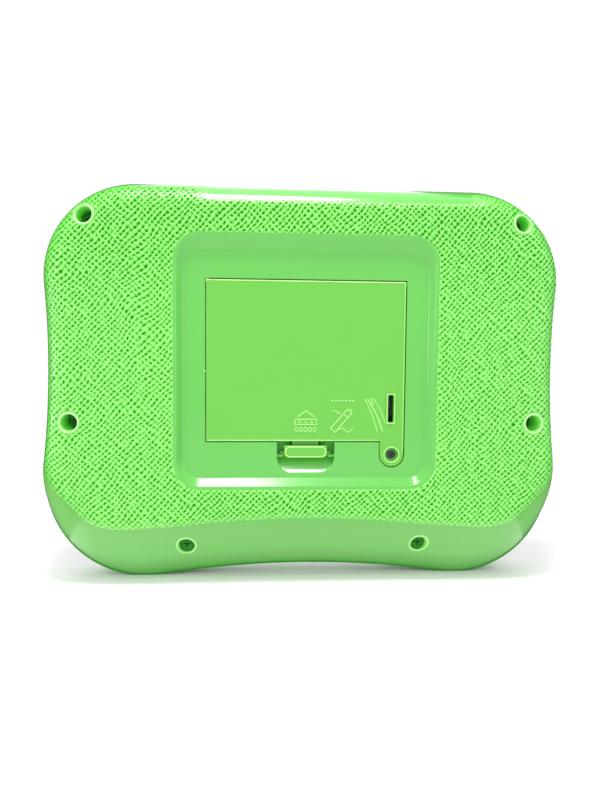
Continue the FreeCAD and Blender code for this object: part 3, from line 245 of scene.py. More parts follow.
GREEN = (0.091, 0.462, 0.047)
DOOR = (0.125, 0.469, 0.050)
M = {
    # foot paints bounce light (paler green low down on the battery side); pocket paints shade (darker green in the
    # latch pocket)
    "green_shell": plastic("green_abs", GREEN, 0.20, vary=0.03, bump=0.03, coat=1.0, foot=((0.178, 0.466, 0.122), (0.238, 0.590, 0.178)),
                           pocket=(0.075, 0.44, 0.035)),
    "green_door": plastic("green_abs_door", DOOR, 0.34, vary=0.02, bump=0.03),
    # mark: painted highlight, the raised marks, ribs, edge beads and flash are paler than the door
    "mark": plastic("green_abs_marks_painted_highlight", (0.38, 0.76, 0.22), 0.30, vary=0.03),
    # pale: painted highlight on the door's top edge, round the latch and round the tab's dish
    "pale": plastic("green_abs_painted_edge_highlight", (0.52, 0.90, 0.28), 0.26, vary=0.04),
    "deep": plastic("green_abs_in_shade", (0.035, 0.24, 0.025), 0.5, vary=0.08),
    # rim: painted highlight, pale rings round the screw wells
    "rim": plastic("green_abs_rims_painted_highlight", (0.42, 0.82, 0.30), 0.20, vary=0.04),
    # well: painted light, a pale lining that lifts the shaded screw wells
    "well": plastic("green_abs_lining_painted_light", (0.29, 0.87, 0.16), 0.45, vary=0.04),
    "white_plate": plastic("white_abs", (0.80, 0.80, 0.77), 0.25, vary=0.02, coat=0.3),
    "display": plastic("display_glass", (0.56, 0.70, 0.60), 0.25, vary=0.03, bump=0.02),
    "segments": plastic("dark_segments", (0.03, 0.045, 0.05), 0.35, vary=0.1),
    "foam": plastic("foam_pad", (0.04, 0.04, 0.04), 0.9, vary=0.2, grain=1500, bump=0.5),
    "chip_black": plastic("moulded_epoxy", (0.02, 0.02, 0.022), 0.55, vary=0.2),
    "silicone": plastic("milky_silicone", (0.55, 0.55, 0.52), 0.55, sss=0.2),
    "slider_knob": plastic("dark_grey_abs", (0.06, 0.065, 0.07), 0.45, vary=0.1, bump=0.2),
    "light_clear": plastic("clear_polycarbonate", (0.80, 0.82, 0.80), 0.10, vary=0.02),
    "home_key": plastic("orange_abs", (0.86, 0.27, 0.02), 0.24, vary=0.03, coat=0.3),
    "key_red": plastic("red_abs", (0.68, 0.03, 0.03), 0.24, vary=0.03, coat=0.3),
    "key_yellow": plastic("yellow_abs", (0.86, 0.56, 0.02), 0.24, vary=0.03, coat=0.3),
    "key_blue": plastic("blue_abs", (0.03, 0.16, 0.62), 0.24, vary=0.03, coat=0.3),
    "key_orange": plastic("deep_orange_abs", (0.84, 0.20, 0.02), 0.24, vary=0.03, coat=0.3),
    "key_purple": plastic("purple_abs", (0.27, 0.06, 0.46), 0.24, vary=0.03, coat=0.3),
    "key_cyan": plastic("cyan_abs", (0.02, 0.46, 0.58), 0.24, vary=0.03, coat=0.3),
    "key_pink": plastic("pink_abs", (0.78, 0.10, 0.33), 0.24, vary=0.03, coat=0.3),
    "key_green": plastic("leaf_green_abs", (0.09, 0.42, 0.07), 0.24, vary=0.03, coat=0.3),
    "speaker_frame": metal("pressed_steel", (0.45, 0.45, 0.46), 0.35),
    "speaker_magnet": plastic("ferrite", (0.03, 0.03, 0.032), 0.6, vary=0.3),
    "speaker_cone": plastic("treated_paper", (0.035, 0.035, 0.035), 0.8, vary=0.3, grain=900, bump=0.4),
    "lead_red": plastic("red_insulation", (0.55, 0.02, 0.02), 0.4),
    "lead_black": plastic("black_insulation", (0.015, 0.015, 0.015), 0.4),
    "contact_metal": metal("nickel_plate", (0.72, 0.71, 0.68), 0.22),
    "screw_metal": metal("zinc_plate", (0.42, 0.42, 0.43), 0.35),
    "screw_green": metal("olive_chromate", (0.036, 0.225, 0.036), 0.48),
    "screw_black": metal("black_oxide", (0.06, 0.075, 0.06), 0.42),
    "capacitor_can": metal("satin_can", (0.62, 0.62, 0.64), 0.35),
    "print_white": plastic("white_print", (0.85, 0.85, 0.83), 0.35, vary=0.02),
    "print_blue": plastic("blue_print", (0.03, 0.25, 0.60), 0.35, vary=0.03),
    "frame_blue": plastic("sky_blue_abs", (0.03, 0.33, 0.68), 0.22, vary=0.03, coat=0.3),
}


def grain_material():
    """Grained skin: pale on the ridges as painted highlight, mid green on the lands and dark down in the pits as
    painted shade.
    """
    m, nt, p = new_material("green_abs_grained")
    at = nt.nodes.new("ShaderNodeAttribute")
    at.attribute_name = "cavity"
    deep = ramp(nt, at.outputs["Fac"], [(0.0, (0.262, 0.706, 0.138)), (0.10, (0.152, 0.612, 0.072)),
                                        (0.32, (0.066, 0.482, 0.027)), (0.74, (0.014, 0.215, 0.008))])
    big = noise(nt, 30.0, 4.0, 0.55)
    drift = ramp(nt, big.outputs["Fac"], [(0.3, (0.93, 0.95, 0.93)), (0.7, (1.0, 1.0, 1.0))])
    mix = nt.nodes.new("ShaderNodeMix")
    mix.data_type = "RGBA"
    mix.blend_type = "MULTIPLY"
    mix.inputs["Factor"].default_value = 1.0
    nt.links.new(deep.outputs[0], mix.inputs["A"])
    nt.links.new(drift.outputs[0], mix.inputs["B"])
    nt.links.new(mix.outputs["Result"], p.inputs["Base Color"])
    sheen = noise(nt, 210.0, 5.0, 0.6)
    nt.links.new(spread(nt, sheen.outputs["Fac"], 0.27, 0.40).outputs[0], p.inputs["Roughness"])
    p.inputs["Coat Roughness"].default_value = 0.13
    for sock, land, pit_ in (("Coat Weight", 0.55, 0.0), ("Specular IOR Level", 0.5, 0.06)):
        mr = nt.nodes.new("ShaderNodeMapRange")
        mr.inputs["From Min"].default_value = 0.10
        mr.inputs["From Max"].default_value = 0.40
        mr.inputs["To Min"].default_value = land
        mr.inputs["To Max"].default_value = pit_
        nt.links.new(at.outputs["Fac"], mr.inputs["Value"])
        nt.links.new(mr.outputs[0], p.inputs[sock])
    fine = noise(nt, 2600.0, 2.0, 0.5)
    b = nt.nodes.new("ShaderNodeBump")
    b.inputs["Strength"].default_value = 0.10
    b.inputs["Distance"].default_value = 0.0002
    nt.links.new(fine.outputs["Fac"], b.inputs["Height"])
    nt.links.new(b.outputs[0], p.inputs["Normal"])
    return m


def lens_material():
    m, nt, p = new_material("smoked_acrylic")
    n = noise(nt, 60.0)
    col = ramp(nt, n.outputs["Fac"], [(0.3, (0.84, 0.87, 0.88)), (0.7, (0.88, 0.90, 0.91))])
    nt.links.new(col.outputs[0], p.inputs["Base Color"])
    nt.links.new(spread(nt, n.outputs["Fac"], 0.02, 0.05).outputs[0], p.inputs["Roughness"])
    p.inputs["Transmission Weight"].default_value = 1.0
    p.inputs["IOR"].default_value = 1.49
    return m


def board_material():
    m, nt, p = new_material("solder_mask")
    tc = nt.nodes.new("ShaderNodeTexCoord")
    br = nt.nodes.new("ShaderNodeTexBrick")
    br.inputs["Scale"].default_value = 220.0
    br.inputs["Color1"].default_value = (0.010, 0.12, 0.035, 1)
    br.inputs["Color2"].default_value = (0.014, 0.16, 0.050, 1)
    br.inputs["Mortar"].default_value = (0.03, 0.26, 0.09, 1)
    br.inputs["Mortar Size"].default_value = 0.03
    nt.links.new(tc.outputs["Object"], br.inputs["Vector"])
    nt.links.new(br.outputs["Color"], p.inputs["Base Color"])
    n = noise(nt, 500.0)
    nt.links.new(spread(nt, n.outputs["Fac"], 0.2, 0.4).outputs[0], p.inputs["Roughness"])
    return m


def cell_material(name, flip):
    """Dry cell: plain slate wrap with a pale band at the positive end."""
    m, nt, p = new_material(name)
    tc = nt.nodes.new("ShaderNodeTexCoord")
    sx = nt.nodes.new("ShaderNodeSeparateXYZ")
    nt.links.new(tc.outputs["Object"], sx.inputs[0])
    mr = nt.nodes.new("ShaderNodeMapRange")
    lo, hi = (-0.0219, 0.0286) if not flip else (0.0219, -0.0286)
    mr.inputs["From Min"].default_value = lo
    mr.inputs["From Max"].default_value = hi
    nt.links.new(sx.outputs[0], mr.inputs["Value"])
    r = ramp(nt, mr.outputs[0], [(0.0, (0.52, 0.52, 0.52)), (0.018, (0.075, 0.120, 0.150)), (0.84, (0.075, 0.120, 0.150)),
                                 (0.845, (0.60, 0.63, 0.60)), (0.965, (0.60, 0.63, 0.60)), (0.97, (0.6, 0.6, 0.6))])
    r.color_ramp.interpolation = "CONSTANT"
    nt.links.new(r.outputs[0], p.inputs["Base Color"])
    n = noise(nt, 300.0)
    nt.links.new(spread(nt, n.outputs["Fac"], 0.20, 0.32).outputs[0], p.inputs["Roughness"])
    p.inputs["Metallic"].default_value = 0.55
    return m


M["grain"] = grain_material()
M["screen_lens"] = lens_material()
M["circuit_board"] = board_material()
M["cell"] = cell_material("cell_wrap_right", False)
M["cell_flip"] = cell_material("cell_wrap_left", True)
SLOT = {s["node"]: s["material_slot"] for s in frame["record"]["subparts"]}
for node, obj in NODES.items():
    key = SLOT[node]
    if node in ("battery_cell_2", "battery_cell_4"):
        key = "cell_flip"
    if node == "case_screws":
        key = "screw_green"
    if node == "door_screw":
        key = "screw_black"
    obj.data.materials.clear()
    obj.data.materials.append(M[key])


# ---------------------------------------------------------------- mesh tools
def add_piece(name, verts, faces, material, body, smooth=True, attr=None):
    me = bpy.data.meshes.new(name)
    me.from_pydata([tuple(v) for v in verts], [], [tuple(f) for f in faces])
    me.update()
    if smooth:
        me.polygons.foreach_set("use_smooth", np.ones(len(me.polygons), dtype=bool))
    if attr is not None:
        a = me.attributes.new("cavity", "FLOAT", "POINT")
        a.data.foreach_set("value", np.asarray(attr, np.float32))
    me.materials.append(material)
    ob = bpy.data.objects.new(name, me)
    scene.collection.objects.link(ob)
    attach(ob, body)
    return ob


def bm_piece(name, bm, material, body, smooth=False):
    bmesh.ops.recalc_face_normals(bm, faces=bm.faces)
    me = bpy.data.meshes.new(name)
    bm.to_mesh(me)
    bm.free()
    if smooth:
        me.polygons.foreach_set("use_smooth", np.ones(len(me.polygons), dtype=bool))
    me.materials.append(material)
    ob = bpy.data.objects.new(name, me)
    scene.collection.objects.link(ob)
    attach(ob, body)
    return ob


# ---------------------------------------------------------------- the grained skin
def smooth01(t):
    t = np.clip(t, 0.0, 1.0)
    return t * t * (3 - 2 * t)


def waves(seed, count, short, long):
    r = np.random.RandomState(seed)
    lam = short * (long / short) ** r.rand(count)
    ang = r.rand(count) * 2 * np.pi
    ph = r.rand(count) * 2 * np.pi
    amp = np.ones(count) / math.sqrt(count / 2.0)

    def f(x, z):
        s = np.zeros_like(x)
        for i in range(count):
            s += amp[i] * np.sin(2 * np.pi * (x * np.cos(ang[i]) + z * np.sin(ang[i])) / lam[i] + ph[i])
        return s
    return f


WARP_U, WARP_V = waves(11, 14, 15.0, 60.0), waves(12, 14, 15.0, 60.0)
AMP, FINE = waves(13, 18, 3.5, 9.0), waves(14, 24, 0.9, 1.8)
PITCH_U, PITCH_V = 2.06, 1.92


def grain(x, z):
    """Height of the moulded grain (0 in a pit, 1 on a land) and how deep in a pit a point is."""
    a, b = math.radians(48.0), math.radians(-44.0)
    u = (x * math.cos(a) + z * math.sin(a)) / PITCH_U + 0.24 * WARP_U(x, z) + 0.075 * AMP(x, z)
    v = (x * math.cos(b) + z * math.sin(b)) / PITCH_V + 0.24 * WARP_V(x, z) + 0.075 * AMP(z, x)
    cu, cv = 0.5 + 0.5 * np.cos(2 * np.pi * u), 0.5 + 0.5 * np.cos(2 * np.pi * v)
    k = np.clip(0.92 + 0.36 * AMP(x, z), 0.30, 1.35)
    pit = 1.08 * cu ** 2.0 * cv ** 2.6 * k
    sway = 0.5 * np.sin(AMP(z, x) * 2)
    line = 0.40 * cu ** 3 * (0.55 + 1.1 * sway) + 0.58 * cv ** 2.6 * (0.60 - 1.1 * sway)
    h = 1.0 - np.clip(0.95 * pit + line, 0, 1) + 0.05 * FINE(x, z)
    return np.clip(h, 0, 1.1), np.clip(0.95 * pit + 0.52 * line + 0.075 * FINE(z, x), 0, 1)


def rounded_rect_gap(x, z, half, low, high, r):
    """Signed distance outside a rounded rectangle (negative inside)."""
    cx, cz = 0.0, (low + high) / 2
    dx = np.abs(x - cx) - (half - r)
    dz = np.abs(z - cz) - ((high - low) / 2 - r)
    out = np.hypot(np.maximum(dx, 0), np.maximum(dz, 0)) + np.minimum(np.maximum(dx, dz), 0) - r
    return out


def hull_line():
    """The parting outline as (angle, radius) about (0, 92): two upper rounds, hollow flanks, two lower rounds, an arched underside."""
    ux, uz, ru, flank, rl, waist, low = 75.55, 137.85, 42.3, 119.45, 45.75, 116.4, -0.25
    lx, lz, za = flank - rl, low + rl, low + 5.45

    def reach(r):
        a = (r + ru) ** 2 - (r + waist - ux) ** 2
        c = (r + rl) ** 2 - (r + waist - lx) ** 2
        return math.sqrt(max(a, 0.0)) + math.sqrt(max(c, 0.0)) - (uz - lz), math.sqrt(max(a, 0.0))

    def along(c, o, r):
        d = math.hypot(o[0] - c[0], o[1] - c[1])
        return math.atan2(o[1] - c[1], o[0] - c[0]) if d > 0 else 0.0

    lo, hi = 20.0, 20000.0
    for _ in range(80):
        mid = 0.5 * (lo + hi)
        if reach(mid)[0] > 0:
            hi = mid
        else:
            lo = mid
    rs = 0.5 * (lo + hi)
    sx, sz = waist + rs, uz - reach(rs)[1]
    q = lz - za
    rb = (lx * lx + q * q - rl * rl) / (2 * (za - low))
    bz = za - rb
    pts = [(t * ux, uz + ru) for t in np.linspace(0, 1, 60)]

    def arc(c, r, a0, a1, n):
        return [(c[0] + r * math.cos(a), c[1] + r * math.sin(a)) for a in np.linspace(a0, a1, n)]

    up_ = along((ux, uz), (sx, sz), ru)
    pts += arc((ux, uz), ru, math.pi / 2, up_, 120)
    f0 = along((sx, sz), (ux, uz), rs) % (2 * math.pi)
    f1 = along((sx, sz), (lx, lz), rl) % (2 * math.pi)
    pts += arc((sx, sz), rs, f0, f1, 80)
    c0 = along((lx, lz), (sx, sz), rl)
    c1 = along((lx, lz), (0.0, bz), rl)
    if c1 > c0:
        c1 -= 2 * math.pi
    pts += arc((lx, lz), rl, c0, c1, 140)
    b0 = along((0.0, bz), (lx, lz), rb)
    pts += arc((0.0, bz), rb, b0, math.pi / 2, 80)
    pts = np.array(pts + [(-x, z) for x, z in pts])
    a, r = np.arctan2(pts[:, 1] - 92.0, pts[:, 0]), np.hypot(pts[:, 0], pts[:, 1] - 92.0)
    o = np.argsort(a)
    a, r = a[o], r[o]
    return np.concatenate([a - 2 * np.pi, a, a + 2 * np.pi]), np.concatenate([r, r, r])


OUT_A, OUT_R = hull_line()
WELLS = [(sx * x, z) for sx in (-1, 1) for x, z in ((96.6, 163.45), (103.8, 73.8), (54.0, 16.3))]
LOW_X = [0, 20, 43, 53, 66, 77, 86, 93, 99, 102.5, 106, 110, 114, 125]
LOW_Z = [30.0, 29.5, 28.0, 26.6, 26.0, 25.3, 25.2, 26.6, 30.3, 34.0, 37.4, 41.2, 45.5, 54.0]


def edge_gap(x, z):
    a = np.arctan2(z - 92.0, x)
    rad = np.hypot(z - 92.0, x)
    rim = np.interp(a, OUT_A, OUT_R)
    # distance measured square to the outline, from the radial one
    h = 0.01
    slope = (np.interp(a + h, OUT_A, OUT_R) - np.interp(a - h, OUT_A, OUT_R)) / (2 * h)
    return (rim - rad) * rim / np.hypot(rim, slope)


def grain_mask(x, z):
    rim = edge_gap(x, z)
    m = smooth01((rim - 1.6) / 2.2)
    m = m * smooth01((rounded_rect_gap(x, z, 57.45, 45.1, 155.6, 11.0) - 1.0) / 1.1)
    m = m * smooth01((z - np.interp(np.abs(x), LOW_X, LOW_Z) + 0.6) / 4.8)
    top = smooth01((x + 52.0) / 12.0) * smooth01((92.0 - x) / 26.0)
    m = m * (1 - top * smooth01((z - 169.6) / 2.6))
    for wx, wz in WELLS:
        m = m * smooth01((np.hypot(x - wx, z - wz) - 4.7) / 0.9)
    return m


shell = NODES["rear_shell"]
BVH = BVHTree.FromPolygons([v.co[:] for v in shell.data.vertices], [p.vertices[:] for p in shell.data.polygons])


def surface_depth(x, z):
    """Y of the outer skin of the battery side at each point in mm, and where the skin can be followed at all."""
    y = np.full(x.shape, BACK)
    rim = edge_gap(x, z)
    low = z - np.interp(np.abs(x), LOW_X, LOW_Z)
    todo = np.argwhere(((rim < 16.0) | (low < 9.0)))
    down = Vector((0, 1, 0))
    ok = np.ones(x.shape)
    for i, j in todo:
        if rim[i, j] < 0.4:
            y[i, j], ok[i, j] = np.nan, 0.0
            continue
        hit = BVH.ray_cast(Vector((x[i, j] * MM, -0.06, z[i, j] * MM)), down, 0.12)
        if hit[0] is None or hit[0].y / MM > 3.0:
            y[i, j], ok[i, j] = np.nan, 0.0
        else:
            y[i, j] = hit[0].y / MM
            ok[i, j] = smooth01(np.array((abs(hit[1].y) - 0.36) / 0.22))
    return y, ok


STEP = 0.32
LAND = 0.46


def skin(name, x0, x1, z0, z1):
    """A closed sheet 0.3 mm proud of the shell that carries the grain; its rim dives under the shell's surface."""
    nx, nz = int(round((x1 - x0) / STEP)) + 1, int(round((z1 - z0) / STEP)) + 1
    gx, gz = np.meshgrid(np.linspace(x0, x1, nx), np.linspace(z0, z1, nz), indexing="ij")
    m = grain_mask(gx, gz)
    y, ok = surface_depth(gx, gz)
    gy_x = np.clip(np.nan_to_num(np.gradient(y, gx[:, 0], axis=0)), -2.6, 2.6)
    gy_z = np.clip(np.nan_to_num(np.gradient(y, gz[0, :], axis=1)), -2.6, 2.6)
    bad = np.isnan(y)
    for _ in range(3):                       # no cell next to a hole in the skin
        grow = bad.copy()
        grow[1:] |= bad[:-1]
        grow[:-1] |= bad[1:]
        grow[:, 1:] |= bad[:, :-1]
        grow[:, :-1] |= bad[:, 1:]
        bad = grow
    m = m * ok
    m[bad] = 0.0
    y = np.nan_to_num(y, nan=0.0)
    ln = np.sqrt(1 + gy_x ** 2 + gy_z ** 2)
    n = np.stack([gy_x / ln, -1 / ln, gy_z / ln], axis=-1)
    g, pit = grain(gx, gz)
    rim = edge_gap(gx, gz)
    calm = 1 - 0.55 * (1 - smooth01((rim - 4.0) / 9.0)) * smooth01((np.abs(gx) - 92.0) / 8.0)
    height = -0.12 + m * (LAND + 0.12) - 0.42 * (1 - g) * smooth01(m * 1.3) * calm
    top = np.stack([gx, y, gz], axis=-1) + n * height[..., None]
    bot = np.stack([gx, y, gz], axis=-1) - n * 0.7
    live = m > 0.0
    cell = live[:-1, :-1] | live[1:, :-1] | live[:-1, 1:] | live[1:, 1:]
    cell &= ~(bad[:-1, :-1] | bad[1:, :-1] | bad[:-1, 1:] | bad[1:, 1:])
    ci, cj = np.nonzero(cell)
    idx = -np.ones((nx, nz), int)
    used = np.zeros((nx, nz), bool)
    for di in (0, 1):
        for dj in (0, 1):
            used[ci + di, cj + dj] = True
    ids = np.argwhere(used)
    idx[used] = np.arange(len(ids))
    nv = len(ids)
    verts = np.concatenate([top[used], bot[used]]) * MM
    a, b, c, d = idx[ci, cj], idx[ci + 1, cj], idx[ci + 1, cj + 1], idx[ci, cj + 1]
    quads = [np.stack([a, b, c, d], 1), np.stack([a, d, c, b], 1) + nv]
    pad = np.zeros((cell.shape[0] + 2, cell.shape[1] + 2), bool)
    pad[1:-1, 1:-1] = cell
    for di, dj, e0, e1 in ((0, -1, (0, 0), (1, 0)), (1, 0, (1, 0), (1, 1)), (0, 1, (1, 1), (0, 1)), (-1, 0, (0, 1), (0, 0))):
        open_ = ~pad[ci + 1 + di, cj + 1 + dj]
        p, q = idx[ci[open_] + e0[0], cj[open_] + e0[1]], idx[ci[open_] + e1[0], cj[open_] + e1[1]]
        quads.append(np.stack([q, p, p + nv, q + nv], 1))
    faces = np.concatenate(quads)
    me = bpy.data.meshes.new(name)
    me.vertices.add(len(verts))
    me.vertices.foreach_set("co", verts.astype(np.float32).ravel())
    me.loops.add(len(faces) * 4)
    me.loops.foreach_set("vertex_index", faces.astype(np.int32).ravel())
    me.polygons.add(len(faces))
    me.polygons.foreach_set("loop_start", np.arange(len(faces), dtype=np.int32) * 4)
    me.polygons.foreach_set("use_smooth", np.ones(len(faces), dtype=bool))
    me.update(calc_edges=True)
    me.validate()
    at = me.attributes.new("cavity", "FLOAT", "POINT")
    shade = 1 - smooth01((rim - 1.0) / 9.0)              # shallower pits and painted shade towards the outline: a darker green on the lands there
    # painted shade in the pits, deeper towards the top and in the lower middle
    deepen = 0.80 + 0.32 * smooth01((gz - 118.0) / 45.0) + 0.14 * smooth01((56.0 - gz) / 14.0) * smooth01((66.0 - np.abs(gx)) / 20.0)
    cav = (pit * m * (1 - 0.45 * shade) * deepen + 0.15 * shade)[used]
    at.data.foreach_set("value", np.concatenate([cav, np.zeros(nv)]).astype(np.float32))
    me.materials.append(M["grain"])
    ob = bpy.data.objects.new(name, me)
    scene.collection.objects.link(ob)
    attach(ob, "casing")
    print(name, len(faces), "quads")
    return ob


XS = [-119.2, -98.0, -78.0, -58.0, -29.0, 0.0, 29.0, 58.0, 78.0, 98.0, 119.2]
for i in range(10):
    skin("grain_%d" % (i + 1), XS[i], XS[i + 1], 23.6, 180.0)


# ---------------------------------------------------------------- rims of the screw wells, pale green as painted highlight
def well_lip(name, wx, wz, radius=3.8):
    prof = [(radius + 1.12, -0.30), (radius + 0.98, 0.05), (radius + 0.80, 0.32), (radius + 0.56, 0.44), (radius + 0.30, 0.42),
            (radius + 0.10, 0.26), (radius - 0.03, 0.02), (radius - 0.05, -0.35), (radius + 0.25, -0.55), (radius + 0.8, -0.6)]
    seg = 72
    verts = []
    for k in range(seg):
        a = 2 * math.pi * k / seg
        ca, sa = math.cos(a), math.sin(a)
        # sample the skin just outside the mouth and carry it inwards
        hits = []
        for rr in (radius + 0.5, radius + 1.6):
            h = BVH.ray_cast(Vector(((wx + rr * ca) * MM, -0.06, (wz + rr * sa) * MM)), Vector((0, 1, 0)), 0.12)
            hits.append(h[0].y / MM)
        slope = (hits[1] - hits[0]) / 1.1
        for r, hgt in prof:
            y = hits[0] + slope * (r - radius - 0.5)
            verts.append(((wx + r * ca) * MM, (y - hgt) * MM, (wz + r * sa) * MM))
    n = len(prof)
    faces = []
    for k in range(seg):
        for i in range(n):
            a, b = k * n + i, k * n + (i + 1) % n
            c, d = ((k + 1) % seg) * n + (i + 1) % n, ((k + 1) % seg) * n + i
            faces.append((a, b, c, d))
    return add_piece(name, verts, faces, M["rim"], "casing")


for i, (wx, wz) in enumerate(WELLS):
    well_lip("well_rim_%d" % (i + 1), wx, wz)


def well_sleeve(name, wx, wz):
    """Thin satin lining of a screw well, with the ring the screw head sits in; its pale green is painted light in the
    shaded well.
    """
    seg = 48
    verts, faces = [], []
    mouth = []
    for k in range(seg):
        a = 2 * math.pi * k / seg
        h = BVH.ray_cast(Vector(((wx + 4.25 * math.cos(a)) * MM, -0.06, (wz + 4.25 * math.sin(a)) * MM)), Vector((0, 1, 0)), 0.12)
        mouth.append(h[0].y / MM)
    floor = BACK + 14.5
    for k in range(seg):
        a = 2 * math.pi * k / seg
        ca, sa = math.cos(a), math.sin(a)
        m0 = mouth[k] + 0.15
        prof = [(3.90, m0), (3.72, m0 + 0.2), (3.66, m0 + 0.6), (3.62, floor - 0.7), (3.45, floor - 0.35), (3.12, floor - 0.30),
                (3.12, floor - 0.1), (3.90, floor - 0.1)]
        for r, y in prof:
            verts.append(((wx + r * ca) * MM, y * MM, (wz + r * sa) * MM))
    n = 8
    for k in range(seg):
        for i in range(n):
            faces.append((k * n + i, k * n + (i + 1) % n, ((k + 1) % seg) * n + (i + 1) % n, ((k + 1) % seg) * n + i))
    bm = bmesh.new()
    vs = [bm.verts.new(v) for v in verts]
    for f in faces:
        bm.faces.new([vs[i] for i in f])
    return bm_piece(name, bm, M["well"], "casing", smooth=True)


for i, (wx, wz) in enumerate(WELLS):
    well_sleeve("well_sleeve_%d" % (i + 1), wx, wz)


# ---------------------------------------------------------------- seam where the two shells meet, a dark ring of painted shade along the parting line
def seam():
    a = np.linspace(-np.pi, np.pi, 721)[:-1]
    rim_r = np.interp(a, OUT_A, OUT_R)
    pts = np.stack([rim_r * np.cos(a), 92.0 + rim_r * np.sin(a)], 1)
    nxt, prv = np.roll(pts, -1, axis=0), np.roll(pts, 1, axis=0)
    t = nxt - prv
    t /= np.linalg.norm(t, axis=1)[:, None]
    nrm = np.stack([t[:, 1], -t[:, 0]], 1)
    rim_y = BACK + 18.0
    prof = [(-0.5, -0.75), (-0.02, -0.80), (0.03, -0.5), (0.04, 0.25), (-0.02, 0.45), (-0.5, 0.45)]
    verts = []
    for p, q in zip(pts, nrm):
        for off, dy in prof:
            v = p + q * off
            verts.append((v[0] * MM, (rim_y + dy) * MM, max(v[1], 0.02) * MM))
    n, m_ = len(pts), len(prof)
    faces = []
    for i in range(n):
        j = (i + 1) % n
        for k in range(m_):
            l = (k + 1) % m_
            faces.append((i * m_ + k, j * m_ + k, j * m_ + l, i * m_ + l))
    bm = bmesh.new()
    vs = [bm.verts.new(v) for v in verts]
    for f in faces:
        bm.faces.new([vs[i] for i in f])
    bm_piece("parting_seam", bm, M["deep"], "casing", smooth=True)


seam()


# ---------------------------------------------------------------- raised line work
def ribbon(store, pts, width, y0, height, closed=False, top=0.55):
    """Raised line along pts (x, z in mm) standing on the plane y0; height < 0 rises towards the battery side."""
    pts = [Vector((p[0], p[1])) for p in pts]
    n = len(pts)
    side = []
    for i in range(n):
        a = pts[i - 1] if (i > 0 or closed) else pts[i]
        b = pts[(i + 1) % n] if (i < n - 1 or closed) else pts[i]
        d1 = (pts[i] - a).normalized() if (pts[i] - a).length > 1e-9 else None
        d2 = (b - pts[i]).normalized() if (b - pts[i]).length > 1e-9 else None
        d = ((d1 or d2) + (d2 or d1)).normalized()
        k = 1.0
        if d1 is not None and d2 is not None:
            k = 1.0 / max(0.5, math.sqrt(max(0.0, (1 + d1.dot(d2)) / 2)))
        side.append((Vector((-d.y, d.x)) * k, d))
    base = len(store[0])
    h = width / 2
    prof = [(-h, 0.0 - math.copysign(0.12, height)), (-h, 0.0), (-h * top, height), (h * top, height), (h, 0.0),
            (h, 0.0 - math.copysign(0.12, height))]
    for p, (s, _) in zip(pts, side):
        for off, up_ in prof:
            store[0].append(((p.x + s.x * off) * MM, (y0 + up_) * MM, (p.y + s.y * off) * MM))
    m = len(prof)
    for i in range(n if closed else n - 1):
        j = (i + 1) % n
        for k in range(m):
            l = (k + 1) % m
            store[1].append((base + i * m + k, base + j * m + k, base + j * m + l, base + i * m + l))
    if not closed:
        store[1].append(tuple(base + k for k in range(m)))
        store[1].append(tuple(base + (n - 1) * m + k for k in reversed(range(m))))


def solid(name, store, material, body, smooth=False):
    bm = bmesh.new()
    vs = [bm.verts.new(v) for v in store[0]]
    for f in store[1]:
        bm.faces.new([vs[i] for i in f])
    return bm_piece(name, bm, material, body, smooth)


def ring(x, z, rx, rz=None, seg=28, a0=0.0, a1=360.0):
    rz = rx if rz is None else rz
    full = abs(a1 - a0) >= 359.9
    n = seg if full else seg + 1
    return [(x + rx * math.cos(math.radians(a0 + (a1 - a0) * k / seg)), z + rz * math.sin(math.radians(a0 + (a1 - a0) * k / seg)))
            for k in range(n)]


def plate(store, pts, y0, height):
    """Flat raised shape with a small bevel; pts is its outline."""
    c = Vector((sum(p[0] for p in pts) / len(pts), sum(p[1] for p in pts) / len(pts)))
    base, n = len(store[0]), len(pts)
    for y_, k in ((y0 - math.copysign(0.1, height), 0.0), (y0 + height * 0.6, 0.0), (y0 + height, 0.12)):
        for p in pts:
            d = c - Vector(p)
            q = Vector(p) + d.normalized() * min(k, d.length * 0.5)
            store[0].append((q.x * MM, y_ * MM, q.y * MM))
    for lvl in (0, 1):
        for i in range(n):
            j = (i + 1) % n
            store[1].append((base + lvl * n + i, base + lvl * n + j, base + (lvl + 1) * n + j, base + (lvl + 1) * n + i))
    store[1].append(tuple(base + i for i in reversed(range(n))))
    store[1].append(tuple(base + 2 * n + i for i in range(n)))


# marks moulded on the battery door: an open-this-way triangle, a bar, a row of pips, a cell and a row of dashes
PANEL = BACK + 3.0
marks = ([], [])
ribbon(marks, [(-3.9, 76.3), (-0.05, 79.0), (3.8, 76.3)], 0.55, PANEL, -0.22)
ribbon(marks, [(-4.9, 72.9), (4.8, 72.9), (4.8, 75.2), (-4.9, 75.2)], 0.5, PANEL, -0.22, closed=True)
for k in range(3):
    ribbon(marks, ring(-2.7 + 2.65 * k, 74.05, 0.62, 0.40, 14), 0.34, PANEL, -0.2, closed=True)
for k in range(5):
    ribbon(marks, ring(-4.3 + 2.05 * k, 70.6, 0.68, 0.95, 16), 0.42, PANEL, -0.22, closed=True)
ca, sa = math.cos(math.radians(49)), math.sin(math.radians(49))
cell_pts = [(-6.2, -1.35), (5.0, -1.35), (5.0, -0.6), (6.0, -0.6), (6.0, 0.6), (5.0, 0.6), (5.0, 1.35), (-6.2, 1.35)]
ribbon(marks, [(16.3 + a * ca - b * sa, 74.9 + a * sa + b * ca) for a, b in cell_pts], 0.5, PANEL, -0.22, closed=True)
ribbon(marks, [(16.3 + a * ca - b * sa, 74.9 + a * sa + b * ca) for a, b in [(2.6, -1.1), (2.6, 1.1)]], 0.4, PANEL, -0.2)
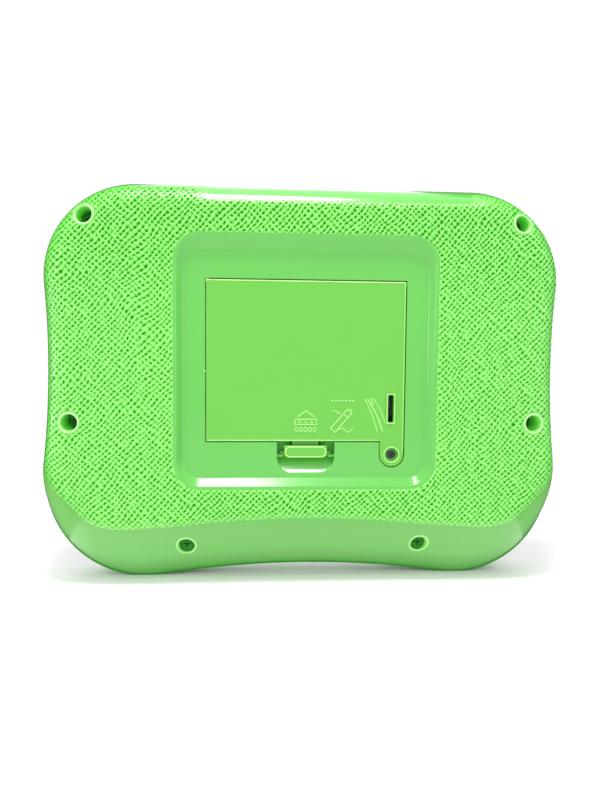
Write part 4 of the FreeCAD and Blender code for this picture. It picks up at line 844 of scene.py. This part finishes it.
ribbon(marks, [(12.2 + 0.45 * k, 78.6 + 0.8 * math.sin(k * 0.9)) for k in range(8)], 0.45, PANEL, -0.2)
ribbon(marks, [(14.9 + 0.5 * k, 70.3 + 0.9 * math.sin(k * 0.55)) for k in range(14)], 0.45, PANEL, -0.2)
for k in range(7):
    ribbon(marks, [(11.2 + 1.6 * k, 83.6), (12.1 + 1.6 * k, 83.6)], 0.55, PANEL, -0.13)
solid("door_marks", marks, M["mark"], "door")

ribs = ([], [])
for x0, z0, x1, z1, bow, wide, rise in ((26.6, 84.4, 32.7, 68.9, 0.5, 0.42, 0.14), (27.8, 84.3, 34.9, 69.4, 0.7, 0.60, 0.22),
                                        (30.2, 84.9, 36.2, 73.2, 0.7, 0.36, 0.12), (29.0, 84.7, 30.6, 81.6, 0.1, 0.5, 0.18)):
    pts = []
    for k in range(13):
        t = k / 12
        pts.append((x0 + (x1 - x0) * t + bow * math.sin(math.pi * t), z0 + (z1 - z0) * t + 0.3 * bow * math.sin(math.pi * t)))
    ribbon(ribs, pts, wide, PANEL, -rise)
solid("door_ribs", ribs, M["mark"], "door", smooth=True)

# painted highlights: pale beads along the door's edges, round the latch and round the tab's dish
edge = ([], [])
ribbon(edge, [(36.75, 73.5), (40.15, 73.5), (40.15, 86.7), (36.75, 86.7)], 0.5, PANEL - 0.30, -0.12, closed=True)
glow = ([], [])
ribbon(glow, [(-44.2, 136.70), (44.2, 136.70)], 0.50, PANEL, -0.12)
ribbon(glow, [(-44.3, 136.2), (-44.3, 136.9), (-43.4, 136.9)], 0.5, PANEL, -0.14)
solid("door_top_bead", glow, M["pale"], "door")
latch_edge = ([], [])
lo_, hi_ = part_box("door_latch")
ribbon(latch_edge, [(-9.05, 59.4), (-7.6, 58.25), (7.6, 58.25), (9.05, 59.4), (9.05, 61.5), (7.6, 62.65), (-7.6, 62.65), (-9.05, 61.5)], 0.42,
       lo_.y / MM + 0.02, -0.10, closed=True)
solid("latch_edge_bead", latch_edge, M["pale"], "latch")
dish = ([], [])
ribbon(dish, ring(39.15, 59.15, 3.42, seg=40), 0.40, PANEL, -0.10, closed=True)
solid("tab_dish_rim", dish, M["pale"], "door")
# painted shade: a dark ring down in the tab's dish
collar = ([], [])
ribbon(collar, ring(39.15, 59.15, 2.50, seg=36), 0.55, PANEL + 0.8, -0.10, closed=True)
solid("tab_dish_collar", collar, M["deep"], "door")
ribbon(edge, [(-44.1, 65.72), (33.2, 65.72)], 0.34, PANEL, -0.07)
ribbon(edge, [(44.15, 60.5), (44.15, 136.3)], 0.26, PANEL, -0.05)
solid("door_edge_beads", edge, M["mark"], "door")


# ---------------------------------------------------------------- springs in the battery bay
def tube(store, pts, r, seg=8):
    base, n = len(store[0]), len(pts)
    pts = [Vector(p) for p in pts]
    up_ = Vector((0.3, 0.9, 0.2)).normalized()
    for i, p in enumerate(pts):
        t = (pts[min(i + 1, n - 1)] - pts[max(i - 1, 0)]).normalized()
        a = t.cross(up_)
        a.normalize()
        b = t.cross(a)
        up_ = -b if (-b).dot(up_) > 0 else b
        up_ = a.cross(t)
        for k in range(seg):
            w_ = 2 * math.pi * k / seg
            store[0].append(tuple((p + a * (r * math.cos(w_)) + up_ * (r * math.sin(w_))) * MM))
    for i in range(n - 1):
        for k in range(seg):
            l = (k + 1) % seg
            store[1].append((base + i * seg + k, base + i * seg + l, base + (i + 1) * seg + l, base + (i + 1) * seg + k))
    store[1].append(tuple(base + k for k in reversed(range(seg))))
    store[1].append(tuple(base + (n - 1) * seg + k for k in range(seg)))


CELL_Y, CELL_Z = BACK + 14.25, [77.6, 92.6, 107.6, 122.6]
for i, zc in enumerate(CELL_Z):
    sgn = -1.0 if i % 2 == 0 else 1.0
    coil = ([], [])
    turns, n = 4.6, 4.6 * 26
    pts = []
    for k in range(int(n) + 1):
        t = k / n
        rad = 4.6 - 1.5 * t
        # flat end coils, open ones between
        run = 0.42 + (6.7 - 0.84) * smooth01(np.array((t - 0.12) / 0.76))
        ang = 2 * math.pi * turns * t
        pts.append((sgn * (28.6 - float(run)), CELL_Y + rad * math.cos(ang), zc + rad * math.sin(ang)))
    tube(coil, pts, 0.38)
    ob = solid("spring_%d" % (i + 1), coil, M["contact_metal"], "casing", smooth=True)
    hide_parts("contact_springs")


# ---------------------------------------------------------------- screen side
KEYS = {}
for node in NODES:
    if node.startswith("key_"):
        lo_, hi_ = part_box(node)
        KEYS[node] = ((lo_.x + hi_.x) / 2 / MM, hi_.y / MM, (lo_.z + hi_.z) / 2 / MM)


def flip(pts, x, z):
    """Line work drawn as read from the screen side, where +X is on the left."""
    return [(x - a, z + b) for a, b in pts]


def arc_pts(cx, cz, r, a0, a1, n=10):
    return [(cx + r * math.cos(math.radians(a0 + (a1 - a0) * k / n)), cz + r * math.sin(math.radians(a0 + (a1 - a0) * k / n)))
            for k in range(n + 1)]


DIGITS = {
    1: [[(-1.4, 1.9), (0.2, 3.3), (0.2, -3.3)]],
    2: [arc_pts(0.0, 1.5, 1.8, 165, -35, 10) + [(-1.9, -3.3), (2.0, -3.3)]],
    3: [arc_pts(0.0, 1.65, 1.65, 150, -80, 10), arc_pts(0.0, -1.55, 1.75, 85, -150, 12)],
    4: [[(0.9, -3.3), (0.9, 3.3), (-2.1, -1.2), (2.0, -1.2)]],
}
STAR = [(3.5 * (1.0 if k % 2 == 0 else 0.45) * math.cos(math.radians(90 + 36 * k)),
         3.5 * (1.0 if k % 2 == 0 else 0.45) * math.sin(math.radians(90 + 36 * k))) for k in range(10)]
SHAPES = {1: ring(0, 0, 3.0), 2: [(0, 3.3), (-3.4, -2.6), (3.4, -2.6)], 3: [(-2.8, -2.8), (2.8, -2.8), (2.8, 2.8), (-2.8, 2.8)], 4: STAR}
for node, (kx, ky, kz) in KEYS.items():
    which, num = node.split("_")[1], int(node.split("_")[2])
    art = ([], [])
    if which == "left":
        for line in SHAPES[num],:
            ribbon(art, flip(line, kx, kz), 0.95, ky - 0.02, 0.14, closed=True)
    else:
        for line in DIGITS[num]:
            ribbon(art, flip(line, kx, kz), 1.05, ky - 0.02, 0.14)
    solid("print_" + node, art, M["print_white"], {"left": "button_left_%d", "right": "button_right_%d"}[which] % num)

# picture on the display: low hills, a sun, a house and a row of blocks in dark segments behind the lens
DISP = float(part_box("display_module")[1].y) / MM
pic = ([], [])
plate(pic, flip([(-30.0, -20.0), (-30.0, -8.0), (-22.0, -3.0), (-12.0, -6.0), (-2.0, -12.0), (10.0, -9.0), (20.0, -12.5), (30.0, -10.0),
                 (30.0, -20.0)][::-1], 0.0, 117.0), DISP, 0.06)
for k in range(8):
    a = math.radians(45 * k)
    ribbon(pic, flip([(22 + 6.2 * math.cos(a), 14 + 6.2 * math.sin(a)), (22 + 8.6 * math.cos(a), 14 + 8.6 * math.sin(a))], 0.0, 117.0), 0.9, DISP, 0.06)
plate(pic, flip(ring(22, 14, 4.4, seg=24), 0.0, 117.0), DISP, 0.06)
ribbon(pic, flip([(-4.0, -6.5), (-4.0, 3.0), (-7.0, 3.0), (2.5, 10.5), (12.0, 3.0), (9.0, 3.0), (9.0, -6.5)], 0.0, 117.0), 1.1, DISP, 0.06)
ribbon(pic, flip([(0.5, -6.5), (0.5, 0.0), (4.5, 0.0), (4.5, -6.5)], 0.0, 117.0), 0.9, DISP, 0.06)
for k in range(5):
    ribbon(pic, flip([(-27.0 + 5.2 * k, 17.0), (-23.4 + 5.2 * k, 17.0), (-23.4 + 5.2 * k, 21.0), (-27.0 + 5.2 * k, 21.0)], 0.0, 117.0), 0.7,
           DISP, 0.06, closed=True)
solid("display_picture", pic, M["segments"], "casing")

# raised frame round the screen, printed icons and small beads on the face plate
PLATE = FRONT


def rounded_loop(half_w, low, high, r, n=8):
    pts = []
    for cx, cz, a0 in ((half_w - r, high - r, 0), (-half_w + r, high - r, 90), (-half_w + r, low + r, 180), (half_w - r, low + r, 270)):
        for k in range(n + 1):
            a = math.radians(a0 + 90 * k / n)
            pts.append((cx + r * math.cos(a), cz + r * math.sin(a)))
    return pts


frame_ring = ([], [])
ribbon(frame_ring, rounded_loop(50.2, 84.8, 149.2, 7.0), 4.6, PLATE, 0.55, closed=True, top=0.78)
solid("screen_frame", frame_ring, M["frame_blue"], "casing", smooth=False)
trim = ([], [])
ribbon(trim, rounded_loop(94.0, 53.0, 166.0, 23.0, 12), 1.0, PLATE, 0.22, closed=True)
solid("plate_border", trim, M["frame_blue"], "casing")
icons = ([], [])
ribbon(icons, flip(arc_pts(0, 0, 1.7, 125, 415, 16), -38.0, 70.5), 0.55, PLATE, 0.09)
ribbon(icons, flip([(0, 0.5), (0, 2.2)], -38.0, 70.5), 0.55, PLATE, 0.09)
plate(icons, flip([(-2.4, -0.8), (-1.2, -0.8), (0.4, -2.0), (0.4, 2.0), (-1.2, 0.8), (-2.4, 0.8)], 38.0, 70.5), PLATE, 0.09)
ribbon(icons, flip(arc_pts(0.2, 0, 1.6, -45, 45, 6), 38.0, 70.5), 0.45, PLATE, 0.09)
ribbon(icons, flip(arc_pts(0.2, 0, 2.7, -45, 45, 6), 38.0, 70.5), 0.45, PLATE, 0.09)
solid("plate_icons", icons, M["print_blue"], "casing")
for i, (bx, bz, mat) in enumerate(((-24.0, 158.0, "key_red"), (-8.0, 158.0, "key_yellow"), (8.0, 158.0, "key_cyan"), (24.0, 158.0, "key_green"))):
    bead = ([], [])
    plate(bead, ring(bx, bz, 2.6, seg=32), PLATE, 0.35)
    solid("plate_bead_%d" % (i + 1), bead, M[mat], "casing")
hx, hy, hz = [(a + b) / 2 / MM for a, b in zip(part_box("home_key")[0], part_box("home_key")[1])]
home = ([], [])
top_y = float(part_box("home_key")[1].y) / MM
ribbon(home, flip([(-3.0, -2.8), (-3.0, 0.4), (-4.2, 0.4), (0.0, 4.0), (4.2, 0.4), (3.0, 0.4), (3.0, -2.8)], hx, hz), 0.9, top_y - 0.02, 0.14, closed=True)
solid("print_home_key", home, M["print_white"], "home_button")

# small bridge of flash left in the gap beside the door
nub = ([], [])
plate(nub, [(-45.3, 96.2), (-44.78, 96.2), (-44.78, 97.0), (-45.3, 97.0)], BACK + 3.05, -0.12)
solid("gap_flash", nub, M["mark"], "casing")

# ---------------------------------------------------------------- stage, lights and camera
def studio():
    me = bpy.data.meshes.new("floor")
    # floor that curves up into a wall far behind, so there's no horizon line
    pts = [(-4.0, 0.0)]
    pts += [(1.6 + 0.9 * math.sin(t), 0.9 - 0.9 * math.cos(t)) for t in [math.pi / 2 * k / 24 for k in range(25)]]
    pts += [(2.5, 4.0)]
    verts, faces = [], []
    for y, z in pts:
        verts += [(-5.0, y, z), (5.0, y, z)]
    for i in range(len(pts) - 1):
        faces.append((2 * i, 2 * i + 1, 2 * i + 3, 2 * i + 2))
    me.from_pydata(verts, [], faces)
    me.polygons.foreach_set("use_smooth", [True] * len(faces))
    m, nt, p = new_material("white_sweep")
    tc = nt.nodes.new("ShaderNodeTexCoord")
    sx = nt.nodes.new("ShaderNodeSeparateXYZ")
    nt.links.new(tc.outputs["Object"], sx.inputs[0])
    n = noise(nt, 3.0)
    # painted light: the sweep is greyer near the set and paler far back, so the far wall, lit less, looks as bright
    # as the floor
    far = nt.nodes.new("ShaderNodeMapRange")
    far.inputs["From Min"].default_value = 0.25
    far.inputs["From Max"].default_value = 1.3
    nt.links.new(sx.outputs[1], far.inputs["Value"])
    col = ramp(nt, far.outputs[0], [(0.0, (0.845, 0.825, 0.845)), (1.0, (0.96, 0.95, 0.96))])
    dust = ramp(nt, n.outputs["Fac"], [(0.3, (0.99, 0.99, 0.99)), (0.7, (1.0, 1.0, 1.0))])
    mix = nt.nodes.new("ShaderNodeMix")
    mix.data_type = "RGBA"
    mix.blend_type = "MULTIPLY"
    mix.inputs["Factor"].default_value = 1.0
    nt.links.new(col.outputs[0], mix.inputs["A"])
    nt.links.new(dust.outputs[0], mix.inputs["B"])
    nt.links.new(mix.outputs["Result"], p.inputs["Base Color"])
    p.inputs["Roughness"].default_value = 0.9
    p.inputs["Specular IOR Level"].default_value = 0.1
    me.materials.append(m)
    me.update()
    ob = bpy.data.objects.new("floor", me)
    scene.collection.objects.link(ob)


def flag(name, x0, x1, y0, y1, z0, z1):
    """Grey card beside the set, out of view; it gives the glossy sides a darker edge."""
    bm = bmesh.new()
    bmesh.ops.create_cube(bm, size=1.0, matrix=Matrix.Translation(((x0 + x1) / 2, (y0 + y1) / 2, (z0 + z1) / 2))
                          @ Matrix.Diagonal((abs(x1 - x0), y1 - y0, z1 - z0, 1)))
    me = bpy.data.meshes.new(name)
    bm.to_mesh(me)
    bm.free()
    me.materials.append(M["foam"])
    ob = bpy.data.objects.new(name, me)
    scene.collection.objects.link(ob)
    ob.visible_diffuse = False
    ob.visible_shadow = False
    ob.visible_camera = False


def softbox(name, loc, aim, sx, sy, power, color=(1, 1, 1), shape="RECTANGLE"):
    d = bpy.data.lights.new(name, "AREA")
    d.shape = shape
    d.size, d.size_y = sx, sy
    d.energy = power
    d.color = color
    o = bpy.data.objects.new(name, d)
    o.location = loc
    o.rotation_euler = (Vector(aim) - Vector(loc)).to_track_quat("-Z", "Y").to_euler()
    scene.collection.objects.link(o)
    return o


studio()
for n_, k_ in (("left", -1), ("right", 1)):
    flag("flag_%s" % n_, k_ * 0.42, k_ * 0.136, 0.06, 0.52, 0.0, 0.40)
    flag("flag_%s_low" % n_, k_ * 0.42, k_ * 0.126, -0.045, 0.0205, 0.001, 0.005)
flag("flag_floor", -0.42, 0.42, 0.022, 0.30, 0.001, 0.004)
w = bpy.data.worlds.new("studio")
scene.world = w
w.use_nodes = True
bg = w.node_tree.nodes["Background"]
bg.inputs[0].default_value = (1.0, 1.0, 1.0, 1)
bg.inputs[1].default_value = 1.125
softbox("overhead_back", (-0.02, -0.125, 0.60), (0, -0.02, 0.10), 0.20, 0.12, 1.9, shape="ELLIPSE")
softbox("overhead_front", (-0.055, -0.275, 0.60), (0, -0.02, 0.10), 0.12, 0.034, 0.35)
softbox("left_strip", (-0.556, -0.018, 0.084), (-0.1098, -0.0145, 0.094), 0.030, 0.034, 0.22)
softbox("screen_fill", (0.10, 0.62, 0.50), (0, 0.02, 0.09), 0.35, 0.35, 0.9)
softbox("left_fill", (-0.55, -0.42, 0.20), (-0.10, -0.017, 0.093), 0.20, 0.20, 0.55)
softbox("right_fill", (0.52, -0.44, 0.12), (0.10, -0.017, 0.05), 0.20, 0.20, 0.30)

cam_d = bpy.data.cameras.new("camera")
cam = bpy.data.objects.new("camera", cam_d)
scene.collection.objects.link(cam)
cam_d.sensor_fit = "HORIZONTAL"
cam_d.sensor_width = 36.0
cam_d.lens = 36.0 * 640.0 / 595.0
cam_d.clip_start = 0.01
yaw, pitch, roll = math.radians(3.687), math.radians(3.602), math.radians(0.498)
fwd = Vector((math.sin(yaw) * math.cos(pitch), math.cos(yaw) * math.cos(pitch), -math.sin(pitch)))
right = Vector((math.cos(yaw), -math.sin(yaw), 0.0))
up = right.cross(fwd)
r2 = right * math.cos(roll) + up * math.sin(roll)
u2 = -right * math.sin(roll) + up * math.cos(roll)
rot = Matrix((r2, u2, -fwd)).transposed()
cam.matrix_world = Matrix.Translation(Vector((-0.0223, -0.3000, 0.1037))) @ rot.to_4x4()
scene.camera = cam
